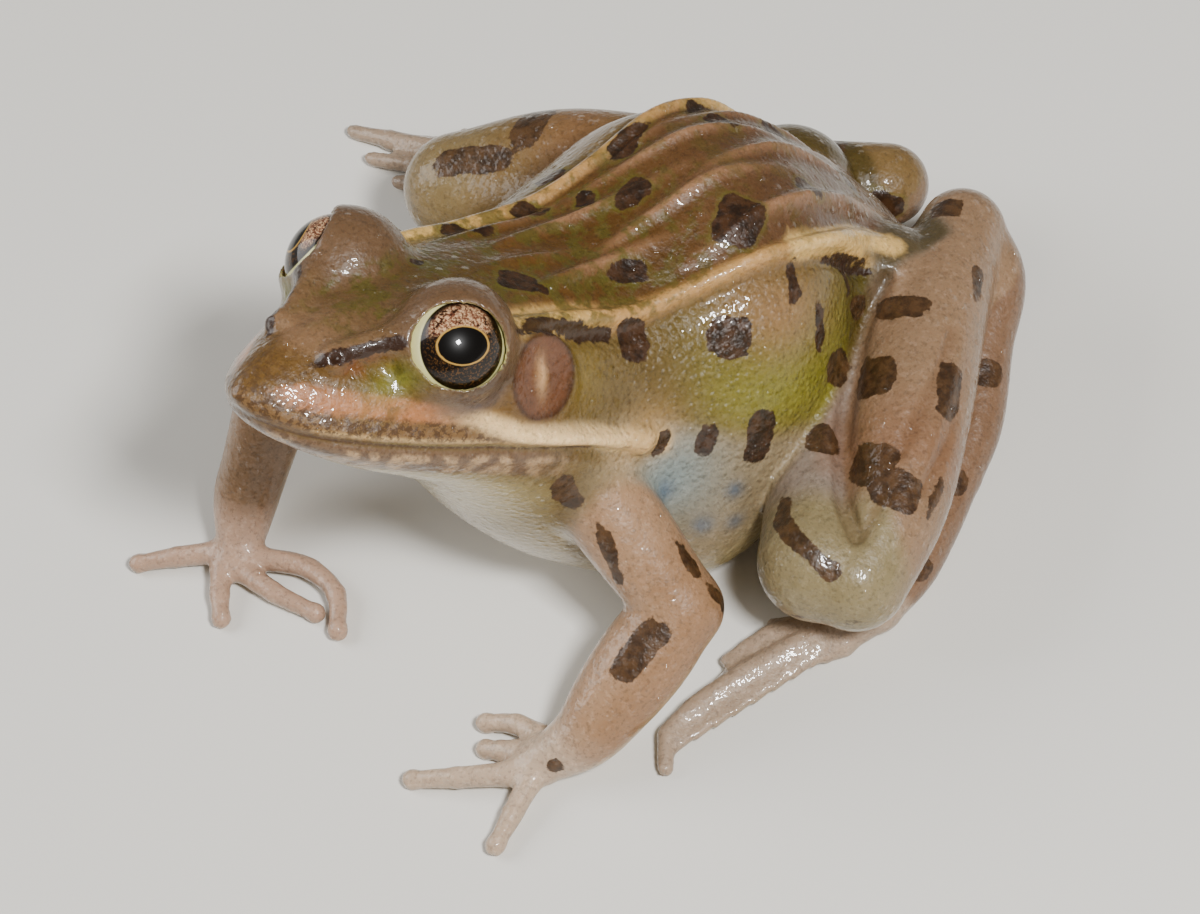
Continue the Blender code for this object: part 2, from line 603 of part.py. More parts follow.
def plate(centre, axis, radius, rings=24):
    """A thin round plate, as points and faces, square to the axis."""
    centre, axis = np.asarray(centre, float), np.asarray(axis, float)
    axis = axis / np.linalg.norm(axis)
    aside = np.cross(axis, [0.3, 0.5, 0.8])
    aside = aside / np.linalg.norm(aside)
    third = np.cross(axis, aside)
    turns = [2 * math.pi * i / rings for i in range(rings)]
    rim = [centre + radius * (math.cos(a) * aside + math.sin(a) * third) for a in turns]
    half = axis * JOINT_GAP / 2
    points = [p - half for p in rim] + [p + half for p in rim]
    faces = [list(range(rings))[::-1], list(range(rings, 2 * rings))]
    faces += [[i, (i + 1) % rings, rings + (i + 1) % rings, rings + i] for i in range(rings)]
    return points, faces


def cup(centre, axis, radius, depth, height, rings=32):
    """A thin-walled round cup that frees the ear drum from the head."""
    centre, axis = np.asarray(centre, float), np.asarray(axis, float)
    axis = axis / np.linalg.norm(axis)
    aside = np.cross(axis, [0.0, 0.0, 1.0])
    aside = aside / np.linalg.norm(aside)
    third = np.cross(axis, aside)
    profile = [(radius, height), (radius, -depth), (radius + JOINT_GAP, -depth - JOINT_GAP),
               (radius + JOINT_GAP, height)]
    points = []
    for r, level in profile:
        for i in range(rings):
            a = 2 * math.pi * i / rings
            points.append(centre + axis * level + r * (math.cos(a) * aside + math.sin(a) * third))
    faces = []
    for k, m in ((0, 1), (2, 3), (3, 0)):
        for i in range(rings):
            j = (i + 1) % rings
            faces.append([k * rings + i, m * rings + i, m * rings + j, k * rings + j])
    faces.append([rings + i for i in range(rings)])
    faces.append([2 * rings + i for i in range(rings)][::-1])
    return points, faces


def mouth_sheet(end):
    """The thin slit between the upper head and the lower jaw."""
    stations = [s for s in MOUTH_STATIONS if s < end] + [end]
    half = JOINT_GAP / 2
    section = [(s, np.interp(s, MOUTH_STATIONS, MOUTH_LEVELS) + half) for s in stations]
    section += [(s, np.interp(s, MOUTH_STATIONS, MOUTH_LEVELS) - half) for s in reversed(stations)]
    count = len(section)
    points = [on_body(left, s, u) for left in (-MOUTH_SHEET_REACH, MOUTH_SHEET_REACH) for s, u in section]
    faces = [list(range(count)), list(range(count, 2 * count))[::-1]]
    faces += [[i, count + i, count + (i + 1) % count, (i + 1) % count] for i in range(count)]
    return points, faces


def cut(target, shapes):
    points, faces = [], []
    for shape_points, shape_faces in shapes:
        base = len(points)
        points += list(shape_points)
        faces += [[base + i for i in face] for face in shape_faces]
    cutter = make_object("cutter", points, faces)
    cleaner = bmesh.new()
    cleaner.from_mesh(cutter.data)
    bmesh.ops.recalc_face_normals(cleaner, faces=cleaner.faces)
    cleaner.to_mesh(cutter.data)
    cleaner.free()
    slit = target.modifiers.new("slit", "BOOLEAN")
    slit.operation = "DIFFERENCE"
    slit.solver = "EXACT"
    slit.object = cutter
    apply_modifiers(target)
    bpy.data.objects.remove(cutter, do_unlink=True)


def islands(source):
    """Separate closed surfaces of a mesh, as lists of faces of points in millimetres."""
    work = bmesh.new()
    work.from_mesh(source.data)
    bmesh.ops.dissolve_degenerate(work, dist=0.00001, edges=work.edges)
    bmesh.ops.triangulate(work, faces=work.faces)
    work.faces.ensure_lookup_table()
    seen = set()
    groups = []
    for face in work.faces:
        if face.index in seen:
            continue
        group, stack = [], [face]
        seen.add(face.index)
        while stack:
            current = stack.pop()
            group.append(current)
            for e in current.edges:
                for other in e.link_faces:
                    if other.index not in seen:
                        seen.add(other.index)
                        stack.append(other)
        order = {}
        faces = []
        for f in group:
            faces.append([order.setdefault(v, len(order)) for v in f.verts])
        points = [np.array(v.co) / MILLIMETRE + FOOTPRINT_MIDDLE for v in order]
        groups.append((points, faces))
    work.free()
    return groups


def holds(piece, point):
    """True where the closed surface goes round the point."""
    p = np.array(piece[0]) - point
    a, b, c = (p[np.array(piece[1])[:, k]] for k in range(3))
    la, lb, lc = (np.linalg.norm(v, axis=1) for v in (a, b, c))
    top = np.einsum("ij,ij->i", a, np.cross(b, c))
    base = la * lb * lc + (a * b).sum(1) * lc + (b * c).sum(1) * la + (c * a).sum(1) * lb
    return abs(np.arctan2(top, base).sum()) > math.pi


def make_material(name, colour, roughness):
    material = bpy.data.materials.new(name)
    material.use_nodes = True
    shader = material.node_tree.nodes["Principled BSDF"]
    shader.inputs["Base Color"].default_value = (*colour, 1.0)
    shader.inputs["Roughness"].default_value = roughness
    return material


# Flesh

def finish(name, clay, triangles):
    """The clay's skin as a mesh object of about so many triangles, flat where it meets the floor."""
    clay.value = np.maximum(clay.value, -np.broadcast_to(clay.rows[2], clay.value.shape).astype(np.float32))
    made = make_object(name, *surface(clay))
    thin = made.modifiers.new("thin", "DECIMATE")
    thin.ratio = min(1.0, triangles / len(made.data.polygons))
    apply_modifiers(made)
    return made


def part_at(source, shapes, seeds):
    """Cut an object with thin plates that stand apart in each cut, and name each piece by its seed."""
    groups = []
    for shape in shapes:
        middle = np.mean(shape[0], axis=0)
        size = np.linalg.norm(np.array(shape[0]) - middle, axis=1).max()
        for group in groups:
            if all(np.linalg.norm(middle - m) > size + r + JOINT_GAP for m, r, _ in group):
                group.append((middle, size, shape))
                break
        else:
            groups.append([(middle, size, shape)])
    for group in groups:
        cut(source, [shape for _, _, shape in group])
    pieces = islands(source)
    bpy.data.objects.remove(source, do_unlink=True)
    for name, seed in seeds.items():
        holding = [piece for piece in pieces if holds(piece, seed)]
        make_object(name, *holding[0])


def body_pieces(source):
    """Head, lower jaw, torso and the two ear drums."""
    shapes = [plate(on_body(0.0, NECK_STATION, -5.0), body_direction(0.0, 1.0, 0.0), NECK_PLATE_RADIUS, 40)]
    seeds = {
        "head": on_body(0.0, 15.0, 2.0),
        "lower_jaw": on_body(0.0, 18.0, -8.0),
        "torso": on_body(0.0, 50.0, -4.0),
    }
    for side, word in ((LEFT, "left"), (RIGHT, "right")):
        s = side["sign"]
        ear = on_body(s * EAR_CENTRE[0], EAR_CENTRE[1], EAR_CENTRE[2])
        face = body_direction(s * EAR_FACE[0], EAR_FACE[1], EAR_FACE[2])
        seeds["eardrum_" + word] = ear - face * EAR_DRUM_DEPTH / 2
        shapes.append(cup(ear, face, EAR_RADIUS, EAR_DRUM_DEPTH, EAR_CUP_HEIGHT))
    shapes.append(mouth_sheet(NECK_STATION + 0.1))
    part_at(source, shapes, seeds)


def arm_pieces(source, side, word):
    """Upper arm, forearm, hand and four fingers."""
    shoulder, elbow, wrist, palm = (side[k] for k in ("shoulder", "elbow", "wrist", "palm"))
    upper, fore = elbow - shoulder, wrist - elbow
    crook = fore / np.linalg.norm(fore) + upper / np.linalg.norm(upper)
    shapes = [plate(elbow, crook, ELBOW_PLATE_RADIUS),
              plate(wrist + (palm - wrist) * 0.3, palm - wrist, WRIST_PLATE_RADIUS)]
    seeds = {
        "upper_arm_" + word: shoulder + upper * 0.6,
        "forearm_" + word: elbow + fore * 0.5,
        "hand_" + word: palm,
    }
    for number, finger in enumerate(side["fingers"]):
        first, second = np.array(finger[0]), np.array(finger[1])
        shapes.append(plate(first + (second - first) * 0.7, second - first, FINGER_PLATE_RADIUS, 12))
        seeds[f"finger_{number + 1}_{word}"] = np.array(finger[-2]) * 0.5 + np.array(finger[-1]) * 0.5
    part_at(source, shapes, seeds)


def leg_pieces(thigh, shank, foot, side, word):
    """Thigh, shank, tarsus and foot."""
    tarsus, sole = np.array(side["tarsus"]), np.array(side["sole"])
    part_at(thigh, [], {"thigh_" + word: bowed(side["hip"], side["knee"], side["thigh_bow"], 0.6)})
    part_at(shank, [], {"shank_" + word: np.array(side["shank"][2])})
    ankle = plate(sole[0], sole[1] - tarsus[-2], ANKLE_PLATE_RADIUS)
    part_at(foot, [ankle], {"tarsus_" + word: tarsus[3], "foot_" + word: sole[2]})


def make_eye(side, word):
    eye = on_body(side["sign"] * EYE_CENTRE[0], EYE_CENTRE[1], EYE_CENTRE[2])
    globe = bmesh.new()
    bmesh.ops.create_icosphere(globe, subdivisions=2, radius=EYE_RADIUS)
    points = [np.array(v.co) + eye for v in globe.verts]
    faces = [[v.index for v in f.verts] for f in globe.faces]
    globe.free()
    make_object("eye_" + word, points, faces, glossy)


skin = make_material("frog_skin", (0.34, 0.25, 0.16), 0.35)
glossy = make_material("frog_eye", (0.03, 0.02, 0.012), 0.06)

body = Clay()
body.join((trunk, np.array([-26.0, -9.0, -1.0]), np.array([28.0, 67.0, 55.0])), 0.2)
clays = [body]
for side in (LEFT, RIGHT):
    add_head_details(body, side["sign"])
    for add in (add_arm, add_thigh, add_shank, add_foot):
        limb = Clay()
        add(limb, side)
        clays.append(limb)
divide(clays)

body_pieces(finish("body", body, BODY_TRIANGLES))
for side, word, limbs in ((LEFT, "left", clays[1:5]), (RIGHT, "right", clays[5:9])):
    arm_pieces(finish("arm", limbs[0], ARM_TRIANGLES), side, word)
    leg_pieces(finish("thigh", limbs[1], THIGH_TRIANGLES), finish("shank", limbs[2], SHANK_TRIANGLES),
               finish("foot", limbs[3], FOOT_TRIANGLES), side, word)
    make_eye(side, word)
for piece in bpy.data.objects:
    if not piece.data.materials:
        piece.data.materials.append(skin)
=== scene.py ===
# Southern leopard frog, life size, as a still museum model: painted skin, glass eyes, floor and light.
# The frog faces -Y, its left side is +X and the floor is the plane z = 0. Forms are worked in millimetres.
import math

import bmesh
import bpy
import numpy as np
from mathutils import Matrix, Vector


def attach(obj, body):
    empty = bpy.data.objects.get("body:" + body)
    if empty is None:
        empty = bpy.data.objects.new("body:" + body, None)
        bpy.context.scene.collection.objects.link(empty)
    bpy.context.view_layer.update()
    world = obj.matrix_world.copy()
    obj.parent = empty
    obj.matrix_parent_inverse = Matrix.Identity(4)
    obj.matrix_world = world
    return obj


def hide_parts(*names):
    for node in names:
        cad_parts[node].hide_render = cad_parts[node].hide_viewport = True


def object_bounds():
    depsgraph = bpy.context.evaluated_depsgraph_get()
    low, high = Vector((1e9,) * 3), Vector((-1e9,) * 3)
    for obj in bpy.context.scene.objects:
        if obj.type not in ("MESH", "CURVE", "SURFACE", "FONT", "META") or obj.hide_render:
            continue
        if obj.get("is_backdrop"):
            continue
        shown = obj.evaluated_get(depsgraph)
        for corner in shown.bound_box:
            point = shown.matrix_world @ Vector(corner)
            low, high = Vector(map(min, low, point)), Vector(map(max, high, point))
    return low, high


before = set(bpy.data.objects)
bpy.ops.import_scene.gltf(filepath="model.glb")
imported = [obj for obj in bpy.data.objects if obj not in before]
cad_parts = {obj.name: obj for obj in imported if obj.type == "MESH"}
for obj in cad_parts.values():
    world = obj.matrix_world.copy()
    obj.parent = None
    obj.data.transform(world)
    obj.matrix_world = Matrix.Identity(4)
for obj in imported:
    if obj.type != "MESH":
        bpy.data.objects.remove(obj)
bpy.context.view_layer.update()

# Skin, trunk and head
# The skin of a museum frog is one cast of soft silicone, taken in a mould and painted by hand.
# Its trunk is lofted through sections along the back, from snout to vent, and the hind body turns a little.

MILLIMETRE = 0.001
FOOTPRINT_MIDDLE = np.array([-10.14, 27.29, -0.02])
SNOUT_TO_VENT = 77.0
BODY_PITCH = math.radians(32.0)
PITCH_COS = math.cos(BODY_PITCH)
PITCH_SIN = math.sin(BODY_PITCH)
SNOUT_TIP = np.array([0.0, -6.8, 48.2])
END_MARGIN = 0.03
LEAST_REACH = 0.05
# Sections from snout to vent: top, bottom, half width, widest level, and roundness above and below it.
STATIONS = [
    0.0, 1.0, 3.0, 6.0, 10.0, 15.0, 20.0, 25.0, 30.0,
    36.0, 42.0, 48.0, 54.0, 60.0, 66.0, 71.0, 75.0, 77.0
]
TOP_LINE = [
    -0.8, 0.6, 2.0, 3.5, 4.8, 5.8, 6.3, 6.4, 6.4,
    7.0, 9.8, 13.4, 13.9, 11.8, 8.6, 5.2, 1.2, -3.0
]
BOTTOM_LINE = [
    -0.8, -2.7, -4.5, -6.2, -8.0, -9.8, -12.2, -15.8, -20.0,
    -23.6, -25.4, -26.0, -24.8, -22.0, -18.2, -14.0, -9.5, -3.0
]
HALF_WIDTH = [
    0.0, 2.1, 4.2, 6.5, 8.6, 10.6, 12.0, 12.8, 13.0,
    14.0, 16.2, 18.6, 17.8, 14.2, 10.8, 7.8, 4.6, 0.0
]
WIDEST_LEVEL = [
    -0.8, -1.8, -2.4, -2.8, -3.2, -3.6, -4.0, -5.0, -7.0,
    -9.0, -10.2, -10.8, -10.2, -8.4, -6.6, -5.0, -3.6, -3.0
]
UPPER_ROUND = [
    2.0, 1.9, 1.75, 1.6, 1.65, 1.85, 2.1, 2.2, 2.2,
    2.2, 2.2, 2.2, 2.2, 2.1, 2.0, 2.0, 2.0, 2.0
]
LOWER_ROUND = [
    2.0, 2.0, 2.1, 2.2, 2.2, 2.1, 2.0, 2.0, 2.1,
    2.3, 2.5, 2.6, 2.5, 2.2, 2.0, 2.0, 2.0, 2.0
]
BEND_START = 26.0
BEND_END = 46.0
BEND_YAW = math.radians(9.5)
BEND_ROLL = math.radians(8.0)
ROLL_LEVEL = 4.0
HEAD_ASIDE = 0.6
MOUTH_STATIONS = [-2.0, 0.0, 0.6, 3.7, 10.8, 15.3, 18.7, 28.2, 33.0]
MOUTH_LEVELS = [-1.3, -1.7, -2.2, -2.9, -3.4, -3.7, -3.9, -5.4, -6.3]


def smooth_curve(x, xs, ys):
    """A rounded line through the listed points."""
    xs = np.asarray(xs, float)
    ys = np.asarray(ys, float)
    width = np.diff(xs)
    slope = np.diff(ys) / width
    tangent = np.empty_like(ys)
    tangent[0] = slope[0]
    tangent[-1] = slope[-1]
    tangent[1:-1] = (slope[:-1] * width[1:] + slope[1:] * width[:-1]) / (width[1:] + width[:-1])
    i = np.clip(np.searchsorted(xs, x) - 1, 0, len(xs) - 2)
    h = xs[i + 1] - xs[i]
    t = np.clip((x - xs[i]) / h, 0.0, 1.0)
    t2 = t * t
    t3 = t2 * t
    start = (2 * t3 - 3 * t2 + 1) * ys[i] + (t3 - 2 * t2 + t) * h * tangent[i]
    end = (3 * t2 - 2 * t3) * ys[i + 1] + (t3 - t2) * h * tangent[i + 1]
    return start + end


def ease(x, start, end):
    """0 before start, 1 after end, and smooth between them."""
    t = np.clip((x - start) / (end - start), 0.0, 1.0)
    return t * t * (3 - 2 * t)


def fade(x, start, end):
    """1 before start, 0 after end, and smooth between them."""
    return 1 - ease(x, start, end)


def bend(left, back, up):
    """A place along the straight head, moved on to the turned and rolled hind body."""
    span = BEND_END - BEND_START
    t = np.clip((back - BEND_START) / span, 0.0, 1.0)
    ramp = t * t * (3 - 2 * t)
    shift = span * (t ** 3 - 0.5 * t ** 4) + np.maximum(back - BEND_END, 0.0)
    slope = math.tan(BEND_YAW)
    turned = left - slope * shift - HEAD_ASIDE * (1 - ramp)
    c, s = np.cos(BEND_ROLL * ramp), np.sin(BEND_ROLL * ramp)
    rise = up - ROLL_LEVEL
    return turned * c - rise * s, back + slope * ramp * turned, turned * s + rise * c + ROLL_LEVEL


def body_place(points):
    """Left, back and up of each point, measured along the bent body from the snout tip."""
    p = np.asarray(points, float) - SNOUT_TIP
    back = p[..., 1] * PITCH_COS - p[..., 2] * PITCH_SIN
    up = p[..., 1] * PITCH_SIN + p[..., 2] * PITCH_COS
    return bend(p[..., 0], back, up)


def pitched(left, back, up):
    """World step of one given in the frame of the head."""
    return np.array([left, back * PITCH_COS + up * PITCH_SIN, up * PITCH_COS - back * PITCH_SIN])


def on_body(left, back, up):
    """World place of a point given along the bent body."""
    want = np.array([left, back, up], float)
    guess = want.copy()
    for _ in range(30):
        guess = guess + (want - np.array(bend(guess[0], guess[1], guess[2])))
    return SNOUT_TIP + pitched(*guess)


def body_direction(left, back, up):
    """World direction of one given in the frame of the head."""
    step = pitched(left, back, up)
    return step / np.linalg.norm(step)


def turn_angle(back):
    """A round measure of the place along the back, so that both ends of the trunk close in a curve."""
    return np.arccos(np.clip(1.0 - 2.0 * np.asarray(back, float) / SNOUT_TO_VENT, -1.0, 1.0))


LOFT_STEPS = 800
LOFT_ANGLES = np.linspace(0.0, math.pi, LOFT_STEPS + 1)
LOFT = {name: smooth_curve(LOFT_ANGLES, turn_angle(STATIONS), table) for name, table in (
    ("top", TOP_LINE), ("bottom", BOTTOM_LINE), ("half", HALF_WIDTH), ("middle", WIDEST_LEVEL),
    ("upper", UPPER_ROUND), ("lower", LOWER_ROUND))}


def loft(angle, name):
    """The value of one of the body's tables at a turn angle."""
    step = angle * (LOFT_STEPS / math.pi)
    first = np.minimum(step.astype(np.int32), LOFT_STEPS - 1)
    part = step - first
    return LOFT[name][first] * (1 - part) + LOFT[name][first + 1] * part


def section(left, back, up):
    """Distance to the smooth trunk, and the place of each point round its section."""
    held = np.clip(back, END_MARGIN, SNOUT_TO_VENT - END_MARGIN)
    angle = turn_angle(held)
    middle = loft(angle, "middle")
    rise = up - middle
    above = rise > 0
    power = np.where(above, loft(angle, "upper"), loft(angle, "lower"))
    reach = np.where(above, loft(angle, "top") - middle, middle - loft(angle, "bottom"))
    reach = np.maximum(reach, LEAST_REACH)
    across = left / np.maximum(loft(angle, "half"), LEAST_REACH)
    lift = rise / reach
    ratio = np.maximum((np.abs(across) ** power + np.abs(lift) ** power) ** (1.0 / power), 1e-3)
    radius = np.sqrt(left * left + rise * rise)
    distance = np.where(radius < 1e-3, -reach, radius * (1.0 - 1.0 / ratio))
    beyond = np.abs(back - held)
    distance = np.where(beyond > 0, np.sqrt(np.maximum(distance, 0) ** 2 + beyond ** 2), distance)
    return distance, np.arctan2(across, lift), radius


FOLD_STATIONS = [21.0, 25.0, 31.0, 38.7, 43.3, 46.0, 52.6, 58.0, 63.0, 68.0, 72.0]
FOLD_LEFT = [7.6, 7.8, 8.2, 9.2, 9.9, 10.4, 10.4, 9.2, 8.2, 7.0, 5.0]
FOLD_RIGHT = [7.4, 7.2, 6.6, 5.8, 6.8, 7.5, 8.6, 8.4, 7.6, 6.6, 5.0]
FOLD_HEIGHT = 0.9
FOLD_HALF_WIDTH = 0.8
REAR_SWELL = 58.0
REAR_SWELL_REACH = 5.0
TROUGH_DEPTH = 0.25
TROUGH_OFFSET = 1.7
TROUGH_HALF_WIDTH = 0.7
PLEATS = [-6.6, -4.6, -2.7, -0.7, 1.5, 3.5, 5.4, 7.2]
PLEAT_HEIGHT = 0.8
PLEAT_HALF_WIDTH = 0.66
MOUTH_DEPTH = 0.38
MOUTH_HALF_WIDTH = 0.32
LIP_HEIGHT = 0.22
UPPER_LIP_LEVEL = 0.95
UPPER_LIP_HALF_WIDTH = 0.6
LOWER_LIP_LEVEL = 1.1
LOWER_LIP_HALF_WIDTH = 0.8
RIDGE_STATIONS = [4.0, 6.0, 10.0, 15.0, 18.0, 21.0, 27.0, 33.0, 38.5]
RIDGE_LEVELS = [4.4, 4.4, 4.3, 3.4, 2.2, 1.5, 1.25, 1.1, 1.0]
RIDGE_HEIGHTS = [0.0, 0.1, 0.15, 0.25, 0.55, 0.9, 1.15, 1.2, 0.0]
RIDGE_HALF_WIDTH = 0.85


def fold_distance(back, turn, radius):
    """Distance round the section from the cream fold along each side of the back, positive below it."""
    angle = turn_angle(np.clip(back, 1.0, SNOUT_TO_VENT - 1.0))
    left_line = smooth_curve(back, FOLD_STATIONS, FOLD_LEFT)
    right_line = smooth_curve(back, FOLD_STATIONS, FOLD_RIGHT)
    line = np.where(turn > 0, left_line, right_line)
    across = np.clip(line / loft(angle, "half"), 0.05, 0.97)
    power = loft(angle, "upper")
    lift = (1.0 - across ** power) ** (1.0 / power)
    return (np.abs(turn) - np.arctan2(across, lift)) * radius


def pleat_middle(back, number, middle):
    """Where a wavy pleat of the back runs, measured to the left."""
    return middle * (1.0 - 0.25 * ease(back, 52.0, 70.0)) + 0.8 * np.sin(0.17 * back + 1.9 * number)


def pleat_strength(back, number):
    """Each pleat swells and dies away along the back."""
    return (0.5 + 0.5 * np.sin(0.2 * back + 2.3 * number)) ** 1.5


def trunk_relief(left, back, up, turn, radius):
    """Height of the folds and lips that stand on the smooth trunk."""
    height = np.zeros_like(left)
    fold = fold_distance(back, turn, radius)
    present = ease(back, 20.5, 24.0) * fade(back, 69.0, 72.0)
    rear = np.exp(-((back - REAR_SWELL) / REAR_SWELL_REACH) ** 2)
    height += FOLD_HEIGHT * (1 + 0.4 * rear) * present * np.exp(-(fold / FOLD_HALF_WIDTH) ** 4)
    beside = (fold - TROUGH_OFFSET) / TROUGH_HALF_WIDTH
    height -= (TROUGH_DEPTH + 0.4 * rear) * present * np.exp(-beside ** 2)
    along_back = ease(back, 23.0, 32.0) * fade(back, 60.0, 68.0)
    between = ease(-fold, 1.2, 2.4) * ease(up, 0.0, 4.0) * along_back
    for k, middle in enumerate(PLEATS):
        beside = (left - pleat_middle(back, k, middle)) / PLEAT_HALF_WIDTH
        height += PLEAT_HEIGHT * pleat_strength(back, k) * between * np.exp(-beside ** 2)
    over = up - np.interp(back, MOUTH_STATIONS, MOUTH_LEVELS)
    mouth = fade(back, 30.0, 33.0)
    height -= MOUTH_DEPTH * mouth * np.exp(-(over / MOUTH_HALF_WIDTH) ** 2)
    height += LIP_HEIGHT * mouth * np.exp(-((over - UPPER_LIP_LEVEL) / UPPER_LIP_HALF_WIDTH) ** 2)
    height += LIP_HEIGHT * mouth * np.exp(-((over + LOWER_LIP_LEVEL) / LOWER_LIP_HALF_WIDTH) ** 2)
    ridge = over - np.interp(back, RIDGE_STATIONS, RIDGE_LEVELS)
    swell = np.interp(back, RIDGE_STATIONS, RIDGE_HEIGHTS) * (np.abs(turn) > 0.5)
    height += swell * np.exp(-(ridge / RIDGE_HALF_WIDTH) ** 2)
    return height


def trunk(points):
    """Distance to the trunk with its folds and lips, which reach less than three millimetres from it."""
    left, back, up = body_place(points)
    distance, turn, radius = section(left, back, up)
    close = np.abs(distance) < 3.0
    distance[close] -= trunk_relief(left[close], back[close], up[close], turn[close], radius[close])
    return distance


# Skin, simple forms
# Limbs, lids and digits are built up in clay from round-ended tapers, balls and thin webs.
# Each form is a distance function with the two corners of its box.

def taper(start, end, start_radius, end_radius):
    """A straight rod with round ends."""
    a, b = np.asarray(start, float), np.asarray(end, float)
    axis = b - a
    square = float(axis @ axis)

    def distance(p):
        q = p - a
        t = np.clip((q @ axis) / square, 0.0, 1.0)
        q = q - t[..., None] * axis
        return np.sqrt((q * q).sum(-1)) - (start_radius + (end_radius - start_radius) * t)

    low = np.minimum(a - start_radius, b - end_radius)
    high = np.maximum(a + start_radius, b + end_radius)
    return distance, low, high


def strand(points, radii, pieces=6):
    """A limb of changing thickness along a smooth line through the points."""
    points = np.array([np.asarray(p, float) for p in points])
    marks = np.concatenate([[0.0], np.cumsum(np.linalg.norm(np.diff(points, axis=0), axis=1))])
    where = np.linspace(0.0, marks[-1], pieces * (len(points) - 1) + 1)
    line = np.stack([smooth_curve(where, marks, points[:, k]) for k in range(3)], -1)
    thick = smooth_curve(where, marks, radii)
    parts = [taper(line[i], line[i + 1], thick[i], thick[i + 1]) for i in range(len(where) - 1)]

    def distance(p):
        nearest = parts[0][0](p)
        for part in parts[1:]:
            nearest = np.minimum(nearest, part[0](p))
        return nearest

    low = np.min([part[1] for part in parts], axis=0)
    high = np.max([part[2] for part in parts], axis=0)
    return distance, low, high


def ball(centre, radius):
    """A round lump."""
    c = np.asarray(centre, float)

    def distance(p):
        return np.sqrt(((p - c) ** 2).sum(-1)) - radius

    return distance, c - radius, c + radius


def disc(centre, face, radius, half_thickness):
    """A round plate."""
    c = np.asarray(centre, float)

    def distance(p):
        q = p - c
        along = q @ face
        across = np.sqrt(np.maximum((q * q).sum(-1) - along * along, 0.0)) - radius
        over = np.abs(along) - half_thickness
        return np.sqrt(np.maximum(across, 0.0) ** 2 + np.maximum(over, 0.0) ** 2) + np.minimum(
            np.maximum(across, over), 0.0)

    reach = radius + half_thickness
    return distance, c - reach, c + reach


def web(a, b, c, half_thickness):
    """A thin three-cornered skin."""
    a, b, c = (np.asarray(v, float) for v in (a, b, c))
    ab, bc, ca = b - a, c - b, a - c
    normal = np.cross(ab, ca)

    def side(edge, q):
        return np.sign(q @ np.cross(edge, normal))

    def to_edge(edge, q):
        t = np.clip((q @ edge) / float(edge @ edge), 0, 1)
        w = q - t[..., None] * edge
        return (w * w).sum(-1)

    def distance(p):
        pa, pb, pc = p - a, p - b, p - c
        inside = side(ab, pa) + side(bc, pb) + side(ca, pc)
        rim = np.minimum(np.minimum(to_edge(ab, pa), to_edge(bc, pb)), to_edge(ca, pc))
        flat = (pa @ normal) ** 2 / float(normal @ normal)
        return np.sqrt(np.where(np.abs(inside) >= 2.0, flat, rim)) - half_thickness

    low = np.minimum(np.minimum(a, b), c) - half_thickness
    high = np.maximum(np.maximum(a, b), c) + half_thickness
    return distance, low, high


OPEN_SPACE = 6.0


class Clay:
    """The space round the frog on a grid of levels, with the distance to the skin at each point."""

    def __init__(self, rows):
        self.rows = rows
        self.value = np.full([len(r) for r in rows], OPEN_SPACE, np.float32)

    def near(self, low, high, margin):
        """The part of the grid within a box and its margin, and the places of its points."""
        first = [int(np.searchsorted(r, low[k] - margin)) for k, r in enumerate(self.rows)]
        last = [int(np.searchsorted(r, high[k] + margin)) for k, r in enumerate(self.rows)]
        parts = [r[a:b] for r, a, b in zip(self.rows, first, last)]
        points = np.stack(np.meshgrid(*parts, indexing="ij"), -1)
        return tuple(slice(a, b) for a, b in zip(first, last)), points

    def join(self, form, blend, soft=None):
        """Add a form, rounding the crease by the blend, or by more near the soft place."""
        distance, low, high = form
        width = blend if soft is None else max(blend, soft[2])
        place, points = self.near(low, high, width + 1.5)
        if soft is not None:
            centre, reach, most = soft
            apart = ((points - centre) ** 2).sum(-1)
            width = blend + (most - blend) * np.exp(-apart / reach ** 2)
        new = distance(points)
        old = self.value[place]
        mix = np.clip(0.5 + 0.5 * (old - new) / width, 0.0, 1.0)
        self.value[place] = old * (1 - mix) + new * mix - width * mix * (1 - mix)

    def carve(self, form, blend):
        """Take a form away, rounding the edge by the blend."""
        distance, low, high = form
        place, points = self.near(low, high, blend + 1.0)
        new = -distance(points)
        old = self.value[place]
        mix = np.clip(0.5 - 0.5 * (old - new) / blend, 0.0, 1.0)
        self.value[place] = old * (1 - mix) + new * mix + blend * mix * (1 - mix)


# Skin, head details
# Brow, lids, nostrils, the pale gland and the ear drums are modelled on to the trunk in small round forms.
# Places are left, back and up from the snout tip on the left side, and the right side mirrors them.

EYE_CENTRE = (7.2, 16.4, 4.0)
EYE_LOOK = (0.70, -0.52, 0.46)
EYE_RADIUS = 4.4
EYE_CLEARANCE = 0.08
LID_THICKNESS = 0.8
LID_HALF_LENGTH = 3.7
LID_HALF_HEIGHT = 3.3
EAR_CENTRE = (10.7, 23.6, 1.3)
EAR_FACE = (0.93, 0.03, 0.34)
EAR_RADIUS = 3.35
EAR_RIM = 0.35
EAR_DEPTH = 0.6
EAR_DISH = 0.35
EAR_DISH_RADIUS = 12.0
EAR_BOSS_RADIUS = 2.0
NOSTRIL = (3.3, 6.8, 2.7)
NOSTRIL_RADIUS = 1.15
NOSTRIL_HOLE_RADIUS = 0.5
BROW_FRONT = (3.0, 7.5, 2.9)
BROW_REAR = (5.0, 11.6, 4.5)
BROW_RADII = (1.0, 1.3)
EYE_DOME = (6.3, 18.0, 4.4)
EYE_DOME_RADIUS = 3.9
GLAND = (13.6, 36.6, -5.4)
GLAND_RADIUS = 1.5
SECOND_LOBE = (13.6, 39.0, -5.2)
SECOND_LOBE_RADIUS = 1.2


